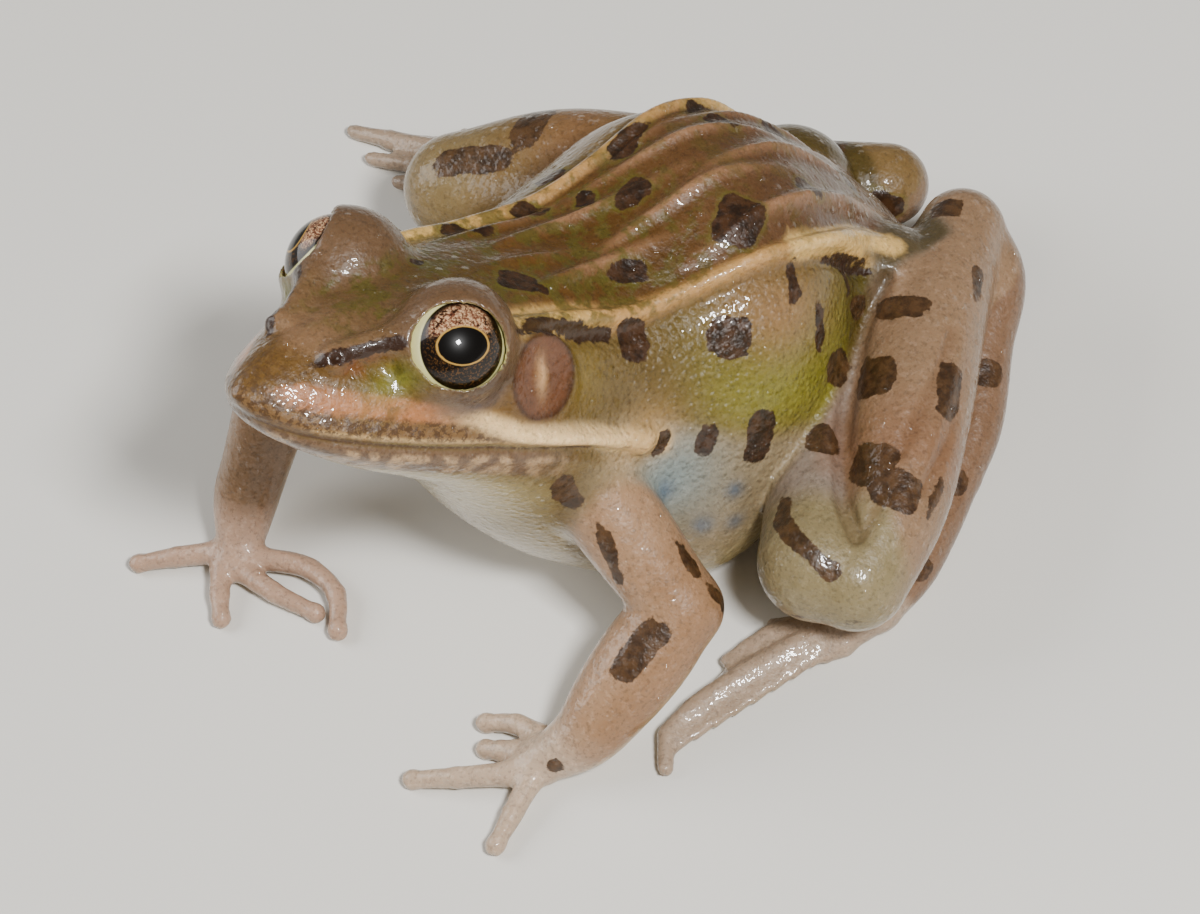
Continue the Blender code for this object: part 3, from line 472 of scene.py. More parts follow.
def mirrored(place, s):
    """World place of a point on the body, on the left where s is 1 and on the right where it is -1."""
    return on_body(s * place[0], place[1], place[2])


def faced(direction, s):
    """World direction of one on the head, mirrored in the same way."""
    return body_direction(s * direction[0], direction[1], direction[2])


def upward_from(look, lean):
    """The upward direction square to a look, leaning by a share toward the rear."""
    high = body_direction(0.0, lean, 1.0)
    high = high - look * (high @ look)
    return high / np.linalg.norm(high)


def lid_opening(eye, look):
    """The oval gap between the lids, as a bar that leaves the eye along its look."""
    high = upward_from(look, 0.0)
    long = np.cross(look, high)

    def distance(p):
        q = p - eye
        ratio = np.sqrt((q @ long / LID_HALF_LENGTH) ** 2 + (q @ high / LID_HALF_HEIGHT) ** 2)
        return np.maximum((ratio - 1.0) * LID_HALF_HEIGHT, 0.8 - q @ look)

    reach = np.full(3, EYE_RADIUS + 2.5)
    return distance, eye - reach, eye + reach


def add_head_details(clay, s):
    """Brow, lids, eye dome, nostril, pale gland, ear drum and eye socket of one side."""
    eye = mirrored(EYE_CENTRE, s)
    look = faced(EYE_LOOK, s)
    nostril = mirrored(NOSTRIL, s)
    clay.join(taper(mirrored(BROW_FRONT, s), mirrored(BROW_REAR, s), *BROW_RADII), 1.2)
    clay.join(ball(eye - look * 0.25, EYE_RADIUS + LID_THICKNESS), 1.8)
    clay.join(ball(mirrored(EYE_DOME, s), EYE_DOME_RADIUS), 2.0)
    clay.join(ball(nostril, NOSTRIL_RADIUS), 0.8)
    clay.carve(ball(nostril + body_direction(s * 0.6, -0.2, 0.5) * 1.1, NOSTRIL_HOLE_RADIUS), 0.2)
    clay.join(ball(mirrored(GLAND, s), GLAND_RADIUS), 0.8)
    clay.join(ball(mirrored(SECOND_LOBE, s), SECOND_LOBE_RADIUS), 0.6)
    ear = mirrored(EAR_CENTRE, s)
    face = faced(EAR_FACE, s)
    clay.join(disc(ear, face, EAR_RADIUS + EAR_RIM, EAR_DEPTH), 1.5)
    clay.carve(ball(ear + face * (EAR_DEPTH - EAR_DISH + EAR_DISH_RADIUS), EAR_DISH_RADIUS), 0.3)
    clay.join(ball(ear + face * (EAR_DEPTH - EAR_BOSS_RADIUS), EAR_BOSS_RADIUS), 0.6)
    clay.carve(ball(eye, EYE_RADIUS + EYE_CLEARANCE), 0.1)
    clay.carve(lid_opening(eye, look), 0.8)


# Skin, arms and legs
# The arms prop the raised chest. The legs are folded beside the body, thigh and shank lying on each other.
# Each limb follows a row of places along its bones, and each digit starts at its palm or sole.

LEFT = {
    "sign": 1,
    "shoulder": on_body(9.3, 33.4, -9.8),
    "elbow": np.array([20.2, 15.0, 10.7]),
    "wrist": np.array([18.5, 3.4, 3.9]),
    "palm": np.array([16.2, -0.4, 1.8]),
    "forearm_radii": [3.5, 4.0, 3.6, 3.0, 2.0],
    "fingers": [[(16.6, -2.6, 1.6), (17.7, -5.9, 1.3), (18.6, -8.9, 0.9)],
                [(14.5, -3.3, 1.6), (11.1, -6.3, 1.5), (7.6, -8.7, 0.8)],
                [(13.2, -1.2, 1.3), (11.9, -1.8, 1.1), (10.4, -2.4, 0.7)],
                [(13.9, 1.2, 1.6), (11.3, 0.9, 1.5), (8.5, -0.5, 0.9)]],
    "hip": on_body(7.5, 66.5, 2.0),
    "knee": np.array([26.2, 25.7, 10.6]),
    "thigh_bow": np.array([-0.6, -0.6, -2.2]),
    "shank": [(29.5, 26.8, 9.8), (28.1, 33.3, 11.2), (23.0, 40.8, 12.4),
              (17.2, 49.5, 13.4), (12.6, 58.9, 13.2)],
    "shank_radii": [4.6, 4.5, 5.4, 5.3, 3.9],
    "tarsus": [(13.4, 59.5, 12.0), (16.0, 58.6, 10.6), (19.7, 53.3, 8.0),
               (24.1, 46.3, 5.4), (25.3, 42.6, 4.6)],
    "sole": [(25.3, 42.6, 4.6), (27.2, 37.5, 3.6), (28.5, 33.1, 3.0), (28.6, 28.9, 2.4)],
    "toes": [[(27.2, 28.4, 1.5), (25.4, 27.0, 1.1), (24.0, 26.0, 0.9)],
             [(26.4, 26.6, 1.5), (23.6, 24.0, 1.1), (21.6, 22.6, 0.9)],
             [(25.8, 25.6, 1.6), (22.4, 21.4, 1.4), (21.0, 17.4, 0.9)],
             [(25.8, 23.8, 1.6), (23.9, 18.0, 1.5), (22.5, 11.7, 1.4), (22.5, 8.6, 1.2), (24.6, 6.0, 0.8)],
             [(28.2, 26.8, 1.5), (28.0, 24.8, 1.1), (27.4, 23.0, 0.9)]],
}
RIGHT = {
    "sign": -1,
    "shoulder": on_body(-9.3, 33.4, -9.8),
    "elbow": np.array([-24.6, 9.5, 15.3]),
    "wrist": np.array([-25.0, 1.8, 5.0]),
    "palm": np.array([-23.4, -1.6, 1.9]),
    "forearm_radii": [3.5, 3.4, 3.1, 3.0, 2.0],
    "fingers": [[(-25.0, -3.2, 1.7), (-27.8, -5.6, 1.4), (-30.7, -8.2, 0.8)],
                [(-23.2, -4.0, 1.7), (-21.4, -6.0, 1.4), (-19.6, -7.6, 0.8)],
                [(-21.6, -3.0, 1.6), (-17.5, -2.8, 1.4), (-13.0, -1.8, 0.8)],
                [(-21.2, -1.2, 1.8), (-16.4, 1.0, 1.6), (-12.6, 0.6, 1.4), (-9.8, -1.9, 0.9)]],
    "hip": on_body(-7.5, 66.5, 2.0),
    "knee": np.array([-30.0, 36.0, 11.6]),
    "thigh_bow": np.array([1.0, -1.2, -0.6]),
    "shank": [(-30.3, 35.9, 12.0), (-23.1, 42.8, 12.8), (-14.6, 48.5, 12.4),
              (-4.9, 55.5, 11.2), (1.0, 60.6, 10.2)],
    "shank_radii": [5.0, 5.6, 5.2, 4.1, 3.8],
    "tarsus": [(1.0, 60.6, 9.6), (-1.4, 61.6, 8.4), (-6.4, 60.4, 6.2),
               (-12.4, 58.4, 4.4), (-17.4, 56.4, 3.4)],
    "sole": [(-17.4, 56.4, 3.4), (-21.6, 54.2, 2.8), (-25.6, 51.8, 2.3), (-29.2, 49.6, 1.9)],
    "toes": [[(-30.0, 47.0, 1.5), (-33.5, 42.5, 1.1), (-36.0, 39.5, 0.9)],
             [(-31.0, 47.5, 1.5), (-38.0, 42.0, 1.1), (-45.0, 38.0, 0.9)],
             [(-32.0, 48.0, 1.5), (-40.5, 42.5, 1.3), (-49.4, 38.5, 0.9)],
             [(-32.5, 49.0, 1.6), (-42.4, 43.8, 1.5), (-49.4, 41.2, 1.2), (-53.6, 39.9, 0.8)],
             [(-31.5, 50.5, 1.5), (-38.0, 48.5, 1.2), (-44.0, 46.0, 0.9)]],
}


def bowed(start, end, bow, t):
    """A point on a limb that bows sideways between its two joints."""
    return start + (end - start) * t + bow * 4 * t * (1 - t)


UPPER_ARM_RADII = [4.2, 4.0, 3.5]
PALM_RADIUS = 1.6
FINGER_ROOT_RADIUS = 1.15
FINGER_RADII = (1.1, 0.8)
KNUCKLE_RADIUS = 0.95


def add_arm(clay, side):
    """Upper arm, forearm, palm and four fingers with small knuckles."""
    shoulder, elbow, wrist, palm = (side[k] for k in ("shoulder", "elbow", "wrist", "palm"))
    fore = wrist - elbow
    clay.join(strand([shoulder, (shoulder + elbow) / 2, elbow], UPPER_ARM_RADII), 0.5, (shoulder, 7.0, 2.2))
    forearm = [elbow, elbow + fore * 0.35, elbow + fore * 0.75, wrist, palm]
    clay.join(strand(forearm, side["forearm_radii"]), 0.8)
    for finger in side["fingers"]:
        clay.join(taper(palm, finger[0], PALM_RADIUS, FINGER_ROOT_RADIUS), 0.7)
        clay.join(strand(finger, np.linspace(*FINGER_RADII, len(finger)), 4), 0.35)
        for joint in finger[1:]:
            clay.join(ball(joint, KNUCKLE_RADIUS), 0.3)


THIGH_CREASE = [
    (15.2, 47.8, 19.3), (16.0, 44.0, 18.0), (18.2, 39.9, 16.7), (20.6, 36.0, 15.5),
    (22.6, 33.6, 15.1), (26.6, 29.7, 14.8), (29.6, 28.0, 14.6)
]
KNEE_CREASES = [[(29.6, 28.0, 14.6), (29.6, 29.9, 15.0), (28.6, 32.4, 15.4)],
                [(27.5, 36.0, 16.4), (25.5, 42.3, 17.0), (22.6, 48.0, 17.1)],
                [(30.8, 35.0, 14.4), (28.8, 40.4, 14.7), (25.2, 47.5, 15.4)]]
THIGH_STEPS = (0.0, 0.35, 0.7, 1.0)
THIGH_RADII = [6.0, 6.2, 5.6, 5.2]
TARSUS_RADII = [3.0, 2.9, 2.5, 2.4, 2.4]
SOLE_RADII = [2.4, 2.3, 2.2, 2.0]
TOE_ROOT_RADII = (1.7, 1.25)
TOE_RADII = (1.2, 0.75)
TOE_PAD_RADIUS = 1.0
WEB_HALF_THICKNESS = 0.35
THIGH_CREASE_RADIUS = 0.75
KNEE_CREASE_RADIUS = 0.45
CREASE_BLEND = 0.6


def thigh_line(side):
    """The bowed middle of a thigh, from hip to knee."""
    return [bowed(side["hip"], side["knee"], side["thigh_bow"], t) for t in THIGH_STEPS]


def add_leg(clay, side):
    """Thigh, shank, tarsus, sole, five toes and their webs, and the creases of the left leg."""
    clay.join(strand(thigh_line(side), THIGH_RADII), 0.5, (side["hip"], 9.0, 2.5))
    clay.join(strand(side["shank"], side["shank_radii"]), 0.3, (side["knee"], 5.0, 1.6))
    clay.join(strand(side["tarsus"], TARSUS_RADII), 0.35)
    clay.join(strand(side["sole"], SOLE_RADII), 0.35)
    toes = [[np.array(p) for p in toe] for toe in side["toes"]]
    for toe in toes:
        clay.join(taper(side["sole"][-1], toe[0], *TOE_ROOT_RADII), 0.7)
        clay.join(strand(toe, np.linspace(*TOE_RADII, len(toe)), 4), 0.5)
        for joint in toe[1:-1]:
            clay.join(ball(joint + np.array([0.0, 0.0, -0.2]), TOE_PAD_RADIUS), 0.5)
    for first, second in zip(toes, toes[1:]):
        web_end = first[-1] * 0.6 + first[-2] * 0.4
        clay.join(web(first[0], first[-2], second[0], WEB_HALF_THICKNESS), 0.3)
        clay.join(web(first[-2], second[-2], second[0], WEB_HALF_THICKNESS), 0.3)
        clay.join(web(first[-2], web_end, second[-2], WEB_HALF_THICKNESS), 0.3)
    if side["sign"] > 0:
        clay.carve(strand(THIGH_CREASE, [THIGH_CREASE_RADIUS] * len(THIGH_CREASE)), CREASE_BLEND)
        for crease in KNEE_CREASES:
            clay.carve(strand(crease, [KNEE_CREASE_RADIUS] * len(crease)), CREASE_BLEND)


# Skin, casting
# The clay is sampled finely round the head and more coarsely behind it, and its surface becomes the cast.
# The cast is cut flat at the floor, smoothed a little and thinned to fewer triangles.

FINE_STEP = 0.27
COARSE_STEP = 0.46
SKIN_TRIANGLES = 190000


def levels(start, end, fine_start, fine_end):
    """Grid levels from start to end, close together between the two fine ones."""
    before = np.arange(start, fine_start, COARSE_STEP)
    fine = np.arange(fine_start, fine_end, FINE_STEP)
    after = np.arange(fine_end, end, COARSE_STEP)
    return np.concatenate([before, fine, after])


def cast(clay):
    """The clay's surface as points and four-sided faces, one point for each cell that it crosses."""
    f = clay.value.astype(np.float64)
    inside = f < 0
    nx, ny, nz = f.shape
    corners = [(i & 1, (i >> 1) & 1, (i >> 2) & 1) for i in range(8)]
    total = np.zeros((nx - 1, ny - 1, nz - 1), np.int8)
    for a, b, c in corners:
        total += inside[a:nx - 1 + a, b:ny - 1 + b, c:nz - 1 + c]
    cells = np.argwhere((total > 0) & (total < 8))
    number = np.full(total.shape, -1, np.int64)
    number[tuple(cells.T)] = np.arange(len(cells))
    value = [f[tuple((cells + c).T)] for c in corners]
    middle = np.zeros((len(cells), 3))
    count = np.zeros(len(cells))
    for i in range(8):
        for axis in range(3):
            j = i | (1 << axis)
            if j == i:
                continue
            crosses = (value[i] < 0) != (value[j] < 0)
            t = np.where(crosses, value[i] / np.where(crosses, value[i] - value[j], 1.0), 0.0)
            point = np.array(corners[i], float) + t[:, None] * (np.array(corners[j]) - np.array(corners[i]))
            middle += point * crosses[:, None]
            count += crosses
    place = cells + middle / count[:, None]
    points = np.stack([np.interp(place[:, k], np.arange(len(r)), r) for k, r in enumerate(clay.rows)], -1)
    faces = []
    for axis in range(3):
        other, third = (axis + 1) % 3, (axis + 2) % 3
        low = [slice(1, -1)] * 3
        low[axis] = slice(0, -1)
        high = list(low)
        high[axis] = slice(1, None)
        starts_in, ends_in = inside[tuple(low)], inside[tuple(high)]
        for want in (True, False):
            edge = np.argwhere(starts_in & ~ends_in if want else ends_in & ~starts_in)
            edge[:, other] += 1
            edge[:, third] += 1
            ring = []
            for back_other, back_third in ((1, 1), (0, 1), (0, 0), (1, 0)):
                cell = edge.copy()
                cell[:, other] -= back_other
                cell[:, third] -= back_third
                ring.append(number[tuple(cell.T)])
            if not want:
                ring.reverse()
            faces.append(np.stack(ring, -1))
    return points, np.concatenate(faces)


# The cream fold's raised rear end, on the left side.
REAR_FOLD = [(10.6, 51.9, 10.9), (9.8, 56.4, 10.4), (7.9, 60.6, 8.6), (7.3, 63.4, 7.4), (8.4, 65.2, 7.1)]
REAR_FOLD_RADII = [0.3, 0.75, 0.85, 0.8, 0.4]
clay = Clay([
    levels(-55.0, 36.0, -15.5, 15.5),
    levels(-13.0, 68.0, -8.5, 23.0),
    levels(-1.0, 56.0, 27.0, 53.0)])
TRUNK_LOW = np.array([-26.0, -9.0, -1.0])
TRUNK_HIGH = np.array([28.0, 67.0, 55.0])
clay.join((trunk, TRUNK_LOW, TRUNK_HIGH), 0.2)
for side in (LEFT, RIGHT):
    add_head_details(clay, side["sign"])
    add_arm(clay, side)
    add_leg(clay, side)
clay.join(strand([on_body(*place) for place in REAR_FOLD], REAR_FOLD_RADII), 0.7)
heights = np.broadcast_to(clay.rows[2], clay.value.shape)
clay.value = np.maximum(clay.value, -heights.astype(np.float32))
skin_points, skin_faces = cast(clay)


def make_piece(name, points, faces):
    """A smooth-shaded mesh object from points in millimetres, standing on the middle of its footprint."""
    mesh = bpy.data.meshes.new(name)
    places = (np.asarray(points) - FOOTPRINT_MIDDLE) * MILLIMETRE
    mesh.from_pydata(places.tolist(), [], np.asarray(faces).tolist())
    mesh.update()
    mesh.shade_smooth()
    made = bpy.data.objects.new(name, mesh)
    bpy.context.collection.objects.link(made)
    return made


def bake_modifiers(piece):
    """Keep the modified shape and drop the modifiers."""
    graph = bpy.context.evaluated_depsgraph_get()
    shaped = bpy.data.meshes.new_from_object(piece.evaluated_get(graph))
    piece.modifiers.clear()
    piece.data = shaped


skin = make_piece("frog_skin", skin_points, skin_faces)
ease_out = skin.modifiers.new("ease_out", "SMOOTH")
ease_out.factor = 0.5
ease_out.iterations = 2
triangles = 2 * len(skin_faces)
if triangles > SKIN_TRIANGLES:
    thin = skin.modifiers.new("thin", "DECIMATE")
    thin.ratio = SKIN_TRIANGLES / triangles
bake_modifiers(skin)
skin.data.shade_smooth()

# Skin, painted colours
# The painter lays soft colours first, on trunk, head and limbs, into the skin's own colour layer.
# Places on the body are left, back and up from the snout tip, and places on a limb follow its bones.


def linear(hex_colour):
    """Linear red, green and blue of an sRGB hex colour."""
    parts = [int(hex_colour[i:i + 2], 16) / 255 for i in (1, 3, 5)]
    return [p / 12.92 if p <= 0.04045 else ((p + 0.055) / 1.055) ** 2.4 for p in parts]


def along_line(points, line):
    """How far along a jointed line each point lies, from 0 to 1, and its distance to the line."""
    line = np.array([np.asarray(p, float) for p in line])
    lengths = np.linalg.norm(np.diff(line, axis=0), axis=1)
    starts = np.concatenate([[0.0], np.cumsum(lengths)])
    best = np.full(len(points), 1e9)
    place = np.zeros(len(points))
    for i, length in enumerate(lengths):
        step = line[i + 1] - line[i]
        share = np.clip((points - line[i]) @ step / length ** 2, 0.0, 1.0)
        apart = np.linalg.norm(points - line[i] - share[:, None] * step, axis=1)
        closer = apart < best
        best[closer] = apart[closer]
        place[closer] = (starts[i] + share * length)[closer]
    return place / starts[-1], best


class Paint:
    """Colours laid over each other on the skin's points."""

    def __init__(self, count, base):
        self.colour = np.tile(np.array(linear(base)), (count, 1))

    def lay(self, hex_colour, strength):
        """Cover each point with a colour by its strength from 0 to 1."""
        strength = np.clip(strength, 0.0, 1.0)[:, None]
        self.colour = self.colour * (1 - strength) + np.array(linear(hex_colour)) * strength


def patch(points, centre, reach):
    """1 at the centre, falling softly to 0 round it."""
    return np.exp(-(((points - np.asarray(centre, float)) / np.asarray(reach, float)) ** 2).sum(-1))


vertex_count = len(skin.data.vertices)
where = np.empty(vertex_count * 3)
skin.data.vertices.foreach_get("co", where)
where = where.reshape(-1, 3) / MILLIMETRE + FOOTPRINT_MIDDLE
facing = np.empty(vertex_count * 3)
skin.data.vertex_normals.foreach_get("vector", facing)
facing = facing.reshape(-1, 3)
left, back, up = body_place(where)
on_trunk = np.stack([left, back, up], -1)
trunk_gap, turn, radius = section(left, back, up)
fold = fold_distance(back, turn, radius)
over_mouth = up - np.interp(back, MOUTH_STATIONS, MOUTH_LEVELS)
head = fade(back, 22.0, 30.0)


def limb_share(line, reach):
    """Strength of a limb's own colour, and the run along it from 0 to 1."""
    run, apart = along_line(where, line)
    return ease(trunk_gap, 0.3, 1.8) * fade(apart, reach, reach + 1.2), run


# Brown back with an olive nape, paler pleats with a painted highlight on their crests, and painted shade
# between them.
paint = Paint(vertex_count, "#684426")
from_top = np.abs(turn)
skin_of_trunk = fade(trunk_gap, 0.8, 2.0)
side_paint = ease(fold, 0.0, 2.0)
paint.lay("#4c3412", (1 - side_paint) * fade(back, 40.0, 56.0) * 0.75)
paint.lay("#5a4230", (1 - side_paint) * ease(back, 40.0, 54.0) * 0.8)
pleat_crest_highlight = np.zeros(vertex_count)
for k, middle in enumerate(PLEATS):
    beside = (left - pleat_middle(back, k, middle)) / 0.55
    pleat_crest_highlight = np.maximum(pleat_crest_highlight, np.exp(-beside ** 2) * pleat_strength(back, k))
on_back = (1 - side_paint) * ease(back, 28.0, 36.0)
# Painted shade on the back between the pleats, and a painted highlight along the pleat crests.
paint.lay("#362410", on_back * 0.35 * (1 - pleat_crest_highlight))
paint.lay("#8c6a50", on_back * 0.85 * pleat_crest_highlight)

# Flanks: brown above, green in the middle, blue-grey low down, and a pale belly.
paint.lay("#594a2a", side_paint * 0.9)
green_flank = patch(on_trunk, (15.0, 52.0, 0.0), (40.0, 13.0, 5.0))
paint.lay("#716b2e", side_paint * ease(back, 36.0, 46.0) * green_flank)
paint.lay("#7d7733", 0.8 * side_paint * patch(on_trunk, (10.0, 64.0, 3.0), (40.0, 7.0, 6.0)))
paint.lay("#8a6a4c", side_paint * 0.7 * patch(np.abs(on_trunk), (13.5, 49.0, 6.5), (9.0, 5.0, 3.0)))
low_flank = side_paint * ease(-up, 2.6, 5.0) * ease(back, 28.0, 36.0)
paint.lay("#837359", low_flank)
paint.lay("#748688", low_flank * 0.75 * patch(np.abs(on_trunk), (15.0, 40.5, 8.5), (12.0, 5.0, 5.0)))
# Painted shade, dark olive, on the flank under the rear of the fold where the body drops away from it.
paint.lay("#3a2f10", side_paint * skin_of_trunk * 0.85 * ease(back, 57.0, 60.0) * ease(up, -4.0, 2.0))
under = ease(-facing[:, 2], 0.0, 0.6)
paint.lay("#95855b", under * ease(fold, 1.0, 3.0))

# Head: pale throat, brown snout, orange stripe over a mottled lip, cream ridge and blotched lower lip.
paint.lay("#9c8c62", ease(-over_mouth, 2.8, 5.0) * head * ease(from_top, 1.6, 2.2))
snout_top = head * ease(over_mouth, 4.5, 6.5)
paint.lay("#533f27", snout_top)
paint.lay("#80634a", snout_top * patch(on_trunk, (0.0, 3.0, 0.0), (12.0, 7.0, 12.0)))
paint.lay("#4a360a", snout_top * 0.6 * ease(back, 14.0, 22.0) * fade(np.abs(left), 3.0, 7.0))
cheek = head * ease(over_mouth, 0.2, 0.8) * fade(over_mouth, 5.2, 6.4)
paint.lay("#604726", cheek)
lip_ridge = over_mouth - np.interp(back, RIDGE_STATIONS, RIDGE_LEVELS)
ridge_paint = np.exp(-(lip_ridge / 1.05) ** 4) * ease(back, 12.0, 20.0) * fade(back, 39.0, 40.5)
ridge_paint = ridge_paint * (from_top > 0.6)
lip_stripe = ease(over_mouth, 1.9, 2.5) * fade(over_mouth, 3.6, 4.3) * (from_top > 0.7)
paint.lay("#a8714e", 0.9 * head * lip_stripe * ease(back, 1.0, 3.5) * fade(back, 11.0, 19.0))
paint.lay("#e6c493", ridge_paint * (trunk_gap < 2.5))
paint.lay("#6c5235", cheek * fade(over_mouth, 1.7, 2.3) * (1 - ridge_paint))
paint.lay("#b29468", cheek * fade(over_mouth, 0.7, 1.1) * ease(back, 3.0, 6.0))
lower_lip = head * ease(-over_mouth, 0.05, 0.4) * fade(-over_mouth, 2.4, 3.2) * (from_top > 0.6)
lip_bars = 0.5 + 0.5 * np.sin(2.2 * back + 1.5 * np.sin(0.71 * back) + 1.2 * np.sin(1.9 * over_mouth + back))
paint.lay("#66503c", lower_lip)
paint.lay("#a08464", lower_lip * ease(lip_bars, 0.35, 0.6) * ease(-over_mouth, 0.5, 0.9))

# Cream fold along each side of the back, brightest at both ends.
fold_reach = 0.95 + 0.45 * fade(back, 30.0, 40.0)
back_fold = np.exp(-(fold / fold_reach) ** 4) * ease(back, 19.0, 22.0) * fade(back, 66.0, 70.0)
back_fold = back_fold * (trunk_gap < 2.0)
fold_ends = np.maximum(ease(back, 50.0, 58.0), fade(back, 27.0, 35.0))
paint.lay("#ab8556", back_fold)
paint.lay("#cfab6c", back_fold * fold_ends * 0.85)

# Lids, cheeks, ear drums, arms, hands, legs and toes of both sides.
crease_line = np.array(THIGH_CREASE)
shank_side = where[:, 0] - np.interp(where[:, 1], crease_line[::-1, 1], crease_line[::-1, 0])
for side in (LEFT, RIGHT):
    s = side["sign"]
    eye = mirrored(EYE_CENTRE, s)
    from_eye = np.linalg.norm(where - eye, axis=1)
    lid = fade(from_eye, EYE_RADIUS + 1.0, EYE_RADIUS + 2.2)
    high = ease((where - eye) @ body_direction(0.0, 0.0, 1.0), -0.5, 1.5)
    dark_cheek = taper(on_body(s * 3.4, 7.4, 2.2), on_body(s * 5.6, 11.0, 2.6), 0.7, 0.9)[0](where)
    paint.lay("#5e3413", fade(dark_cheek, 0.0, 1.0) * 0.85)
    paint.lay("#6e6f2e", 0.75 * patch(where, on_body(s * 7.0, 11.0, 2.0), (2.4, 2.9, 1.3)))
    paint.lay("#5c4632", lid * high)
    paint.lay("#2f242a", lid * (1 - high) * 0.9 * patch(where, on_body(s * 9.6, 16.6, 0.4), (4.0, 3.6, 3.0)))
    outward = (facing * (where - eye)).sum(-1) / from_eye
    lid_edge = fade(from_eye, EYE_RADIUS + 0.25, EYE_RADIUS + 0.5) * fade(outward, 0.3, 0.6)
    paint.lay("#d5cb88", lid_edge * 0.9)
    ear = mirrored(EAR_CENTRE, s)
    face = faced(EAR_FACE, s)
    tall = np.cross(face, body_direction(0.0, 1.0, 0.0))
    from_ear = np.linalg.norm(where - ear, axis=1)
    paint.lay("#6e5a24", 0.8 * patch(where, on_body(s * 10.8, 28.2, 0.2), (2.6, 3.0, 3.2)))
    drum = fade(from_ear, EAR_RADIUS - 0.1, EAR_RADIUS + 0.5)
    paint.lay("#5b3924", drum)
    upright = (where - ear) @ tall
    sideways = np.sqrt(np.maximum(from_ear ** 2 - upright ** 2 - ((where - ear) @ face) ** 2, 0.0))
    paint.lay("#b48e66", drum * np.exp(-(upright / 1.6) ** 2 - (sideways / 0.6) ** 2))
    # A thin dark ring of painted shade round the edge of each ear drum.
    paint.lay("#34190a", 0.85 * np.exp(-((from_ear - EAR_RADIUS - 0.25) / 0.25) ** 2))
    arm_line = [side["shoulder"], side["elbow"], side["wrist"], side["palm"]]
    share, run = limb_share(arm_line, 5.0)
    # The right arm takes a darker brown than the left: painted shade on the far side.
    paint.lay("#94765c" if s > 0 else "#84684e", share)
    paint.lay("#7d5b3e", share * 0.6 * ease(facing[:, 0] * s, 0.3, 0.9) * ease(run, 0.2, 0.4))
    paint.lay("#c8b08a", share * ease(-facing[:, 2], 0.1, 0.7))
    fingers = np.max([limb_share([side["palm"]] + finger, 2.2)[0] for finger in side["fingers"]], axis=0)
    hand = np.maximum(fingers, share * ease(run, 0.82, 0.95))
    # The right hand is painted darker than the left in the same way, as painted shade.
    paint.lay("#ae9883" if s > 0 else "#a38773", hand)
    share, run = limb_share(thigh_line(side), 7.6)
    thigh_paint = share * fade(shank_side, -0.5, 0.5) if s > 0 else share
    shank_share, shank_run = limb_share(side["shank"], 7.0)
    # The right leg takes darker browns than the left, painted shade on the far side.
    paint.lay("#806750" if s > 0 else "#6c5636", shank_share)
    paint.lay("#807266" if s > 0 else "#6c5636", thigh_paint)
    paint.lay("#3d3212", thigh_paint * 0.85 * fade(run, 0.12, 0.34))
    paint.lay("#7c6f52" if s > 0 else "#756344", share * ease(run, 0.82, 0.95))
    paint.lay("#a58355", 0.85 * patch(where, mirrored(GLAND, s), (3.2, 3.2, 2.4)))
    paint.lay("#74503a", shank_share * 0.5 * ease(shank_run, 0.15, 0.3) * fade(shank_run, 0.3, 0.5))
    share = limb_share(side["tarsus"] + side["sole"][1:], 3.4)[0]
    paint.lay("#6f5541", share * (where[:, 2] < 11.5))
    toes = np.max([limb_share([side["sole"][-1]] + toe, 2.2)[0] for toe in side["toes"]], axis=0)
    paint.lay("#988471", toes)

# Pale soles and belly, the cream rear end of the left fold, and painted shade in the creases of the left leg.
paint.lay("#c3b192", 0.7 * ease(-facing[:, 2], 0.5, 0.9))
rear_fold = along_line(where, [on_body(*place) for place in REAR_FOLD])[1]
paint.lay("#c9a76e", fade(rear_fold, 0.9, 1.5))
creases = np.min([along_line(where, line)[1] for line in [THIGH_CREASE] + KNEE_CREASES], axis=0)
# Painted shade, darkest in the crease between thigh and shank.
paint.lay("#3c2614", 0.6 * np.exp(-(along_line(where, THIGH_CREASE)[1] / 0.75) ** 2))
paint.lay("#5a3a22", 0.5 * np.exp(-(creases / 0.6) ** 2))

# All colours a little deeper.
COLOUR_DEPTH = 1.1
brightness = (paint.colour @ [0.25, 0.65, 0.1])[:, None]
paint.colour = np.clip(brightness + COLOUR_DEPTH * (paint.colour - brightness), 0.002, 1.0)

# Skin, dark marks
# Chocolate spots with thin pale rims lie on the back, plain ones on the flanks, and bars cross arms and legs.
# A spot is given by its place, its turn toward the side, and its half length and half width in millimetres.


def spot(centre, direction, half_length, half_width):
    """Distance in millimetres from a longish block of colour with round corners, negative inside it."""
    along = np.asarray(direction, float) / np.linalg.norm(direction)
    q = where - np.asarray(centre, float)
    run = q @ along
    apart = np.sqrt(np.maximum((q * q).sum(-1) - run * run, 0.0))
    ratio = (np.abs(run / half_length) ** 4 + np.abs(apart / half_width) ** 4) ** 0.25
    return (ratio - 1.0) * min(half_length, half_width)


def back_spot(place, across, half_length, half_width):
    """A spot on the body, lengthwise or, by the share across, turned toward the side."""
    centre = on_body(*place)
    direction = on_body(place[0] + across, place[1] + 1.0 - abs(across), place[2]) - centre
    return spot(centre, direction, half_length, half_width)


